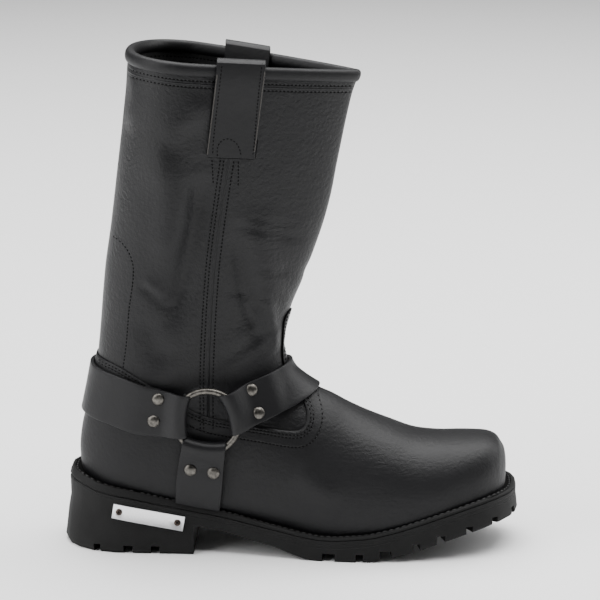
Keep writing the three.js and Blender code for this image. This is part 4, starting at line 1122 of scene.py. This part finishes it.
for face in (-1, 1):
    lines = [beside(EDGE_LINE[1:-1], -at) for at in VAMP_STITCHES]
    lines += [beside(seam_down, -at) for at in SEAM_STITCHES]
    rims = [rim_line - (0, at) for at in RIM_STITCHES]
    legs = [side_spline(leg, 2) for leg in INNER_LEGS]
    upper_rows += [stitch_row(upper_tree, line, face) for line in lines + rims + [PATCH_LINE] + legs]
    upper_rows += [stitch_row(lining_tree, line, face, start=0) for line in rims]
    pull_rows += [stitch_row(pull_tree, side_spline(edge, 2), face, PULL_THREAD)
                  for edge in PULL_EDGES + [PULL_TAB]]
    # Painted highlights: pale cords just inside each pull strap's long edges
    painted_highlight_rows += [stitch_row(pull_tree, line, face, EDGE_HIGHLIGHT_ROW) for line in outer_edges(pull_tree, face)]
    # Painted shadow: a row of black cords just below each pull strap's lower end
    ends = lower_edge(pull_tree, face) - (0, END_SHADOW_DROP)
    painted_shadow_rows.append(stitch_row(upper_tree, ends, face, END_SHADOW_ROW))
threads("upper_stitches", upper_rows)

# Rays towards the foot just over the sole's lip, and down on the lip
HEEL_X, TOE_X = 45, 255
END_REACH, LIP_RISE, LIP_REACH, RAY_STEP = 42, 3, 160, 4
LIP_WIDTHS, LIP_LOOK, LIP_SHARE = np.arange(0.4, 9, 0.4), 6, 0.45
LEVEL, LIP_DEPTH = 0.7, 1.2


def foot_outline():
    """Places and outward directions round the foot, over the sole's lip."""
    half_turn = np.linspace(-math.pi / 2, math.pi / 2, 45)
    rays = [(x, 0, -1) for x in np.arange(HEEL_X, TOE_X, RAY_STEP)]
    rays += [(TOE_X, math.cos(a), math.sin(a)) for a in half_turn]
    rays += [(x, 0, 1) for x in np.arange(TOE_X, HEEL_X, -RAY_STEP)]
    rays += [(HEEL_X, -math.cos(a), math.sin(a)) for a in half_turn[::-1]]
    outline = []
    for x, dx, dy in rays:
        height = float(seat(x + END_REACH * dx)) + LIP_RISE
        start = (x + dx * LIP_REACH, dy * LIP_REACH, height)
        hit, _ = cast(upper_tree, start, (-dx, -dy, 0))
        if hit is not None:
            outline.append(np.append(np.array(hit) / MM - ORIGIN, (dx, dy)))
    return np.array(outline)


def welt_row():
    """Stitches along the middle of the sole's lip."""
    tree = surface_tree(sole, welt)
    outline = foot_outline()
    run = run_along(outline[:, :2])
    spots = []
    for x, y, z, dx, dy in rows_at(np.arange(0, run[-1], WELT_STITCH[0]), run, outline):
        found = []
        for shift in LIP_WIDTHS:
            hit, normal = cast(tree, (x + dx * shift, y + dy * shift, z + LIP_LOOK), (0, 0, -1))
            if hit is not None and normal.z > LEVEL:
                found.append((hit, normal))
        top = max((hit.z for hit, _ in found), default=0)
        found = [pair for pair in found if pair[0].z > top - LIP_DEPTH * MM]
        if found:
            spots.append(found[int(len(found) * LIP_SHARE)])
    return stitch_run(spots, *WELT_STITCH, 0, 2)


threads("welt_stitches", [welt_row()], WELT_THREAD)
threads("pull_stitches", pull_rows)
# Painted highlights along the pull straps' long edges
threads("pull_strap_painted_highlights", painted_highlight_rows, PAINTED_EDGE_HIGHLIGHT)
# Painted shadow under the pull straps' lower ends
threads("pull_strap_painted_shadow", painted_shadow_rows, DYED_EDGE_AND_PAINTED_SHADOW)

# Camera and light
TARGET = Vector((0.00615, 0, 0.175))
DISTANCE = 1.65
AZIMUTH = math.radians(1.5)
ELEVATION = math.radians(13.5)
LENS, SENSOR = 140.6, 36
WORLD_STRENGTH = 0.12
FLOOR_SIZE = 20


def aimed(thing, place, target):
    thing.location = place
    thing.rotation_mode = "QUATERNION"
    thing.rotation_quaternion = (target - place).to_track_quat("-Z", "Y")
    bpy.context.collection.objects.link(thing)


def softbox(name, place, size, watts):
    light = bpy.data.lights.new(name, "AREA")
    light.shape = "RECTANGLE"
    light.size, light.size_y = size
    light.energy = watts
    aimed(bpy.data.objects.new(name, light), Vector(place), TARGET)


camera = bpy.data.objects.new("photo_camera", bpy.data.cameras.new("photo_camera"))
camera.data.lens = LENS
camera.data.sensor_width = SENSOR
level = math.cos(ELEVATION)
back = Vector((math.sin(AZIMUTH) * level, -math.cos(AZIMUTH) * level, math.sin(ELEVATION)))
aimed(camera, TARGET + back * DISTANCE, TARGET)
bpy.context.scene.camera = camera

softbox("top_softbox", (0.1, 0.5, 3.3), (4.0, 4.0), 350)
softbox("left_softbox", (-1.5, -0.6, 0.9), (1.5, 1.4), 26)
softbox("right_softbox", (1.4, 0.5, 0.9), (1.2, 1.2), 16)

world = bpy.context.scene.world or bpy.data.worlds.new("studio")
bpy.context.scene.world = world
world.use_nodes = True
world.node_tree.nodes["Background"].inputs["Color"].default_value = (1, 1, 1, 1)
world.node_tree.nodes["Background"].inputs["Strength"].default_value = WORLD_STRENGTH

bm = bmesh.new()
bmesh.ops.create_grid(bm, x_segments=2, y_segments=2, size=FLOOR_SIZE)
floor = linked("studio_floor", bm, plain("matte_white_paper", "f6f6f6", 0.6))
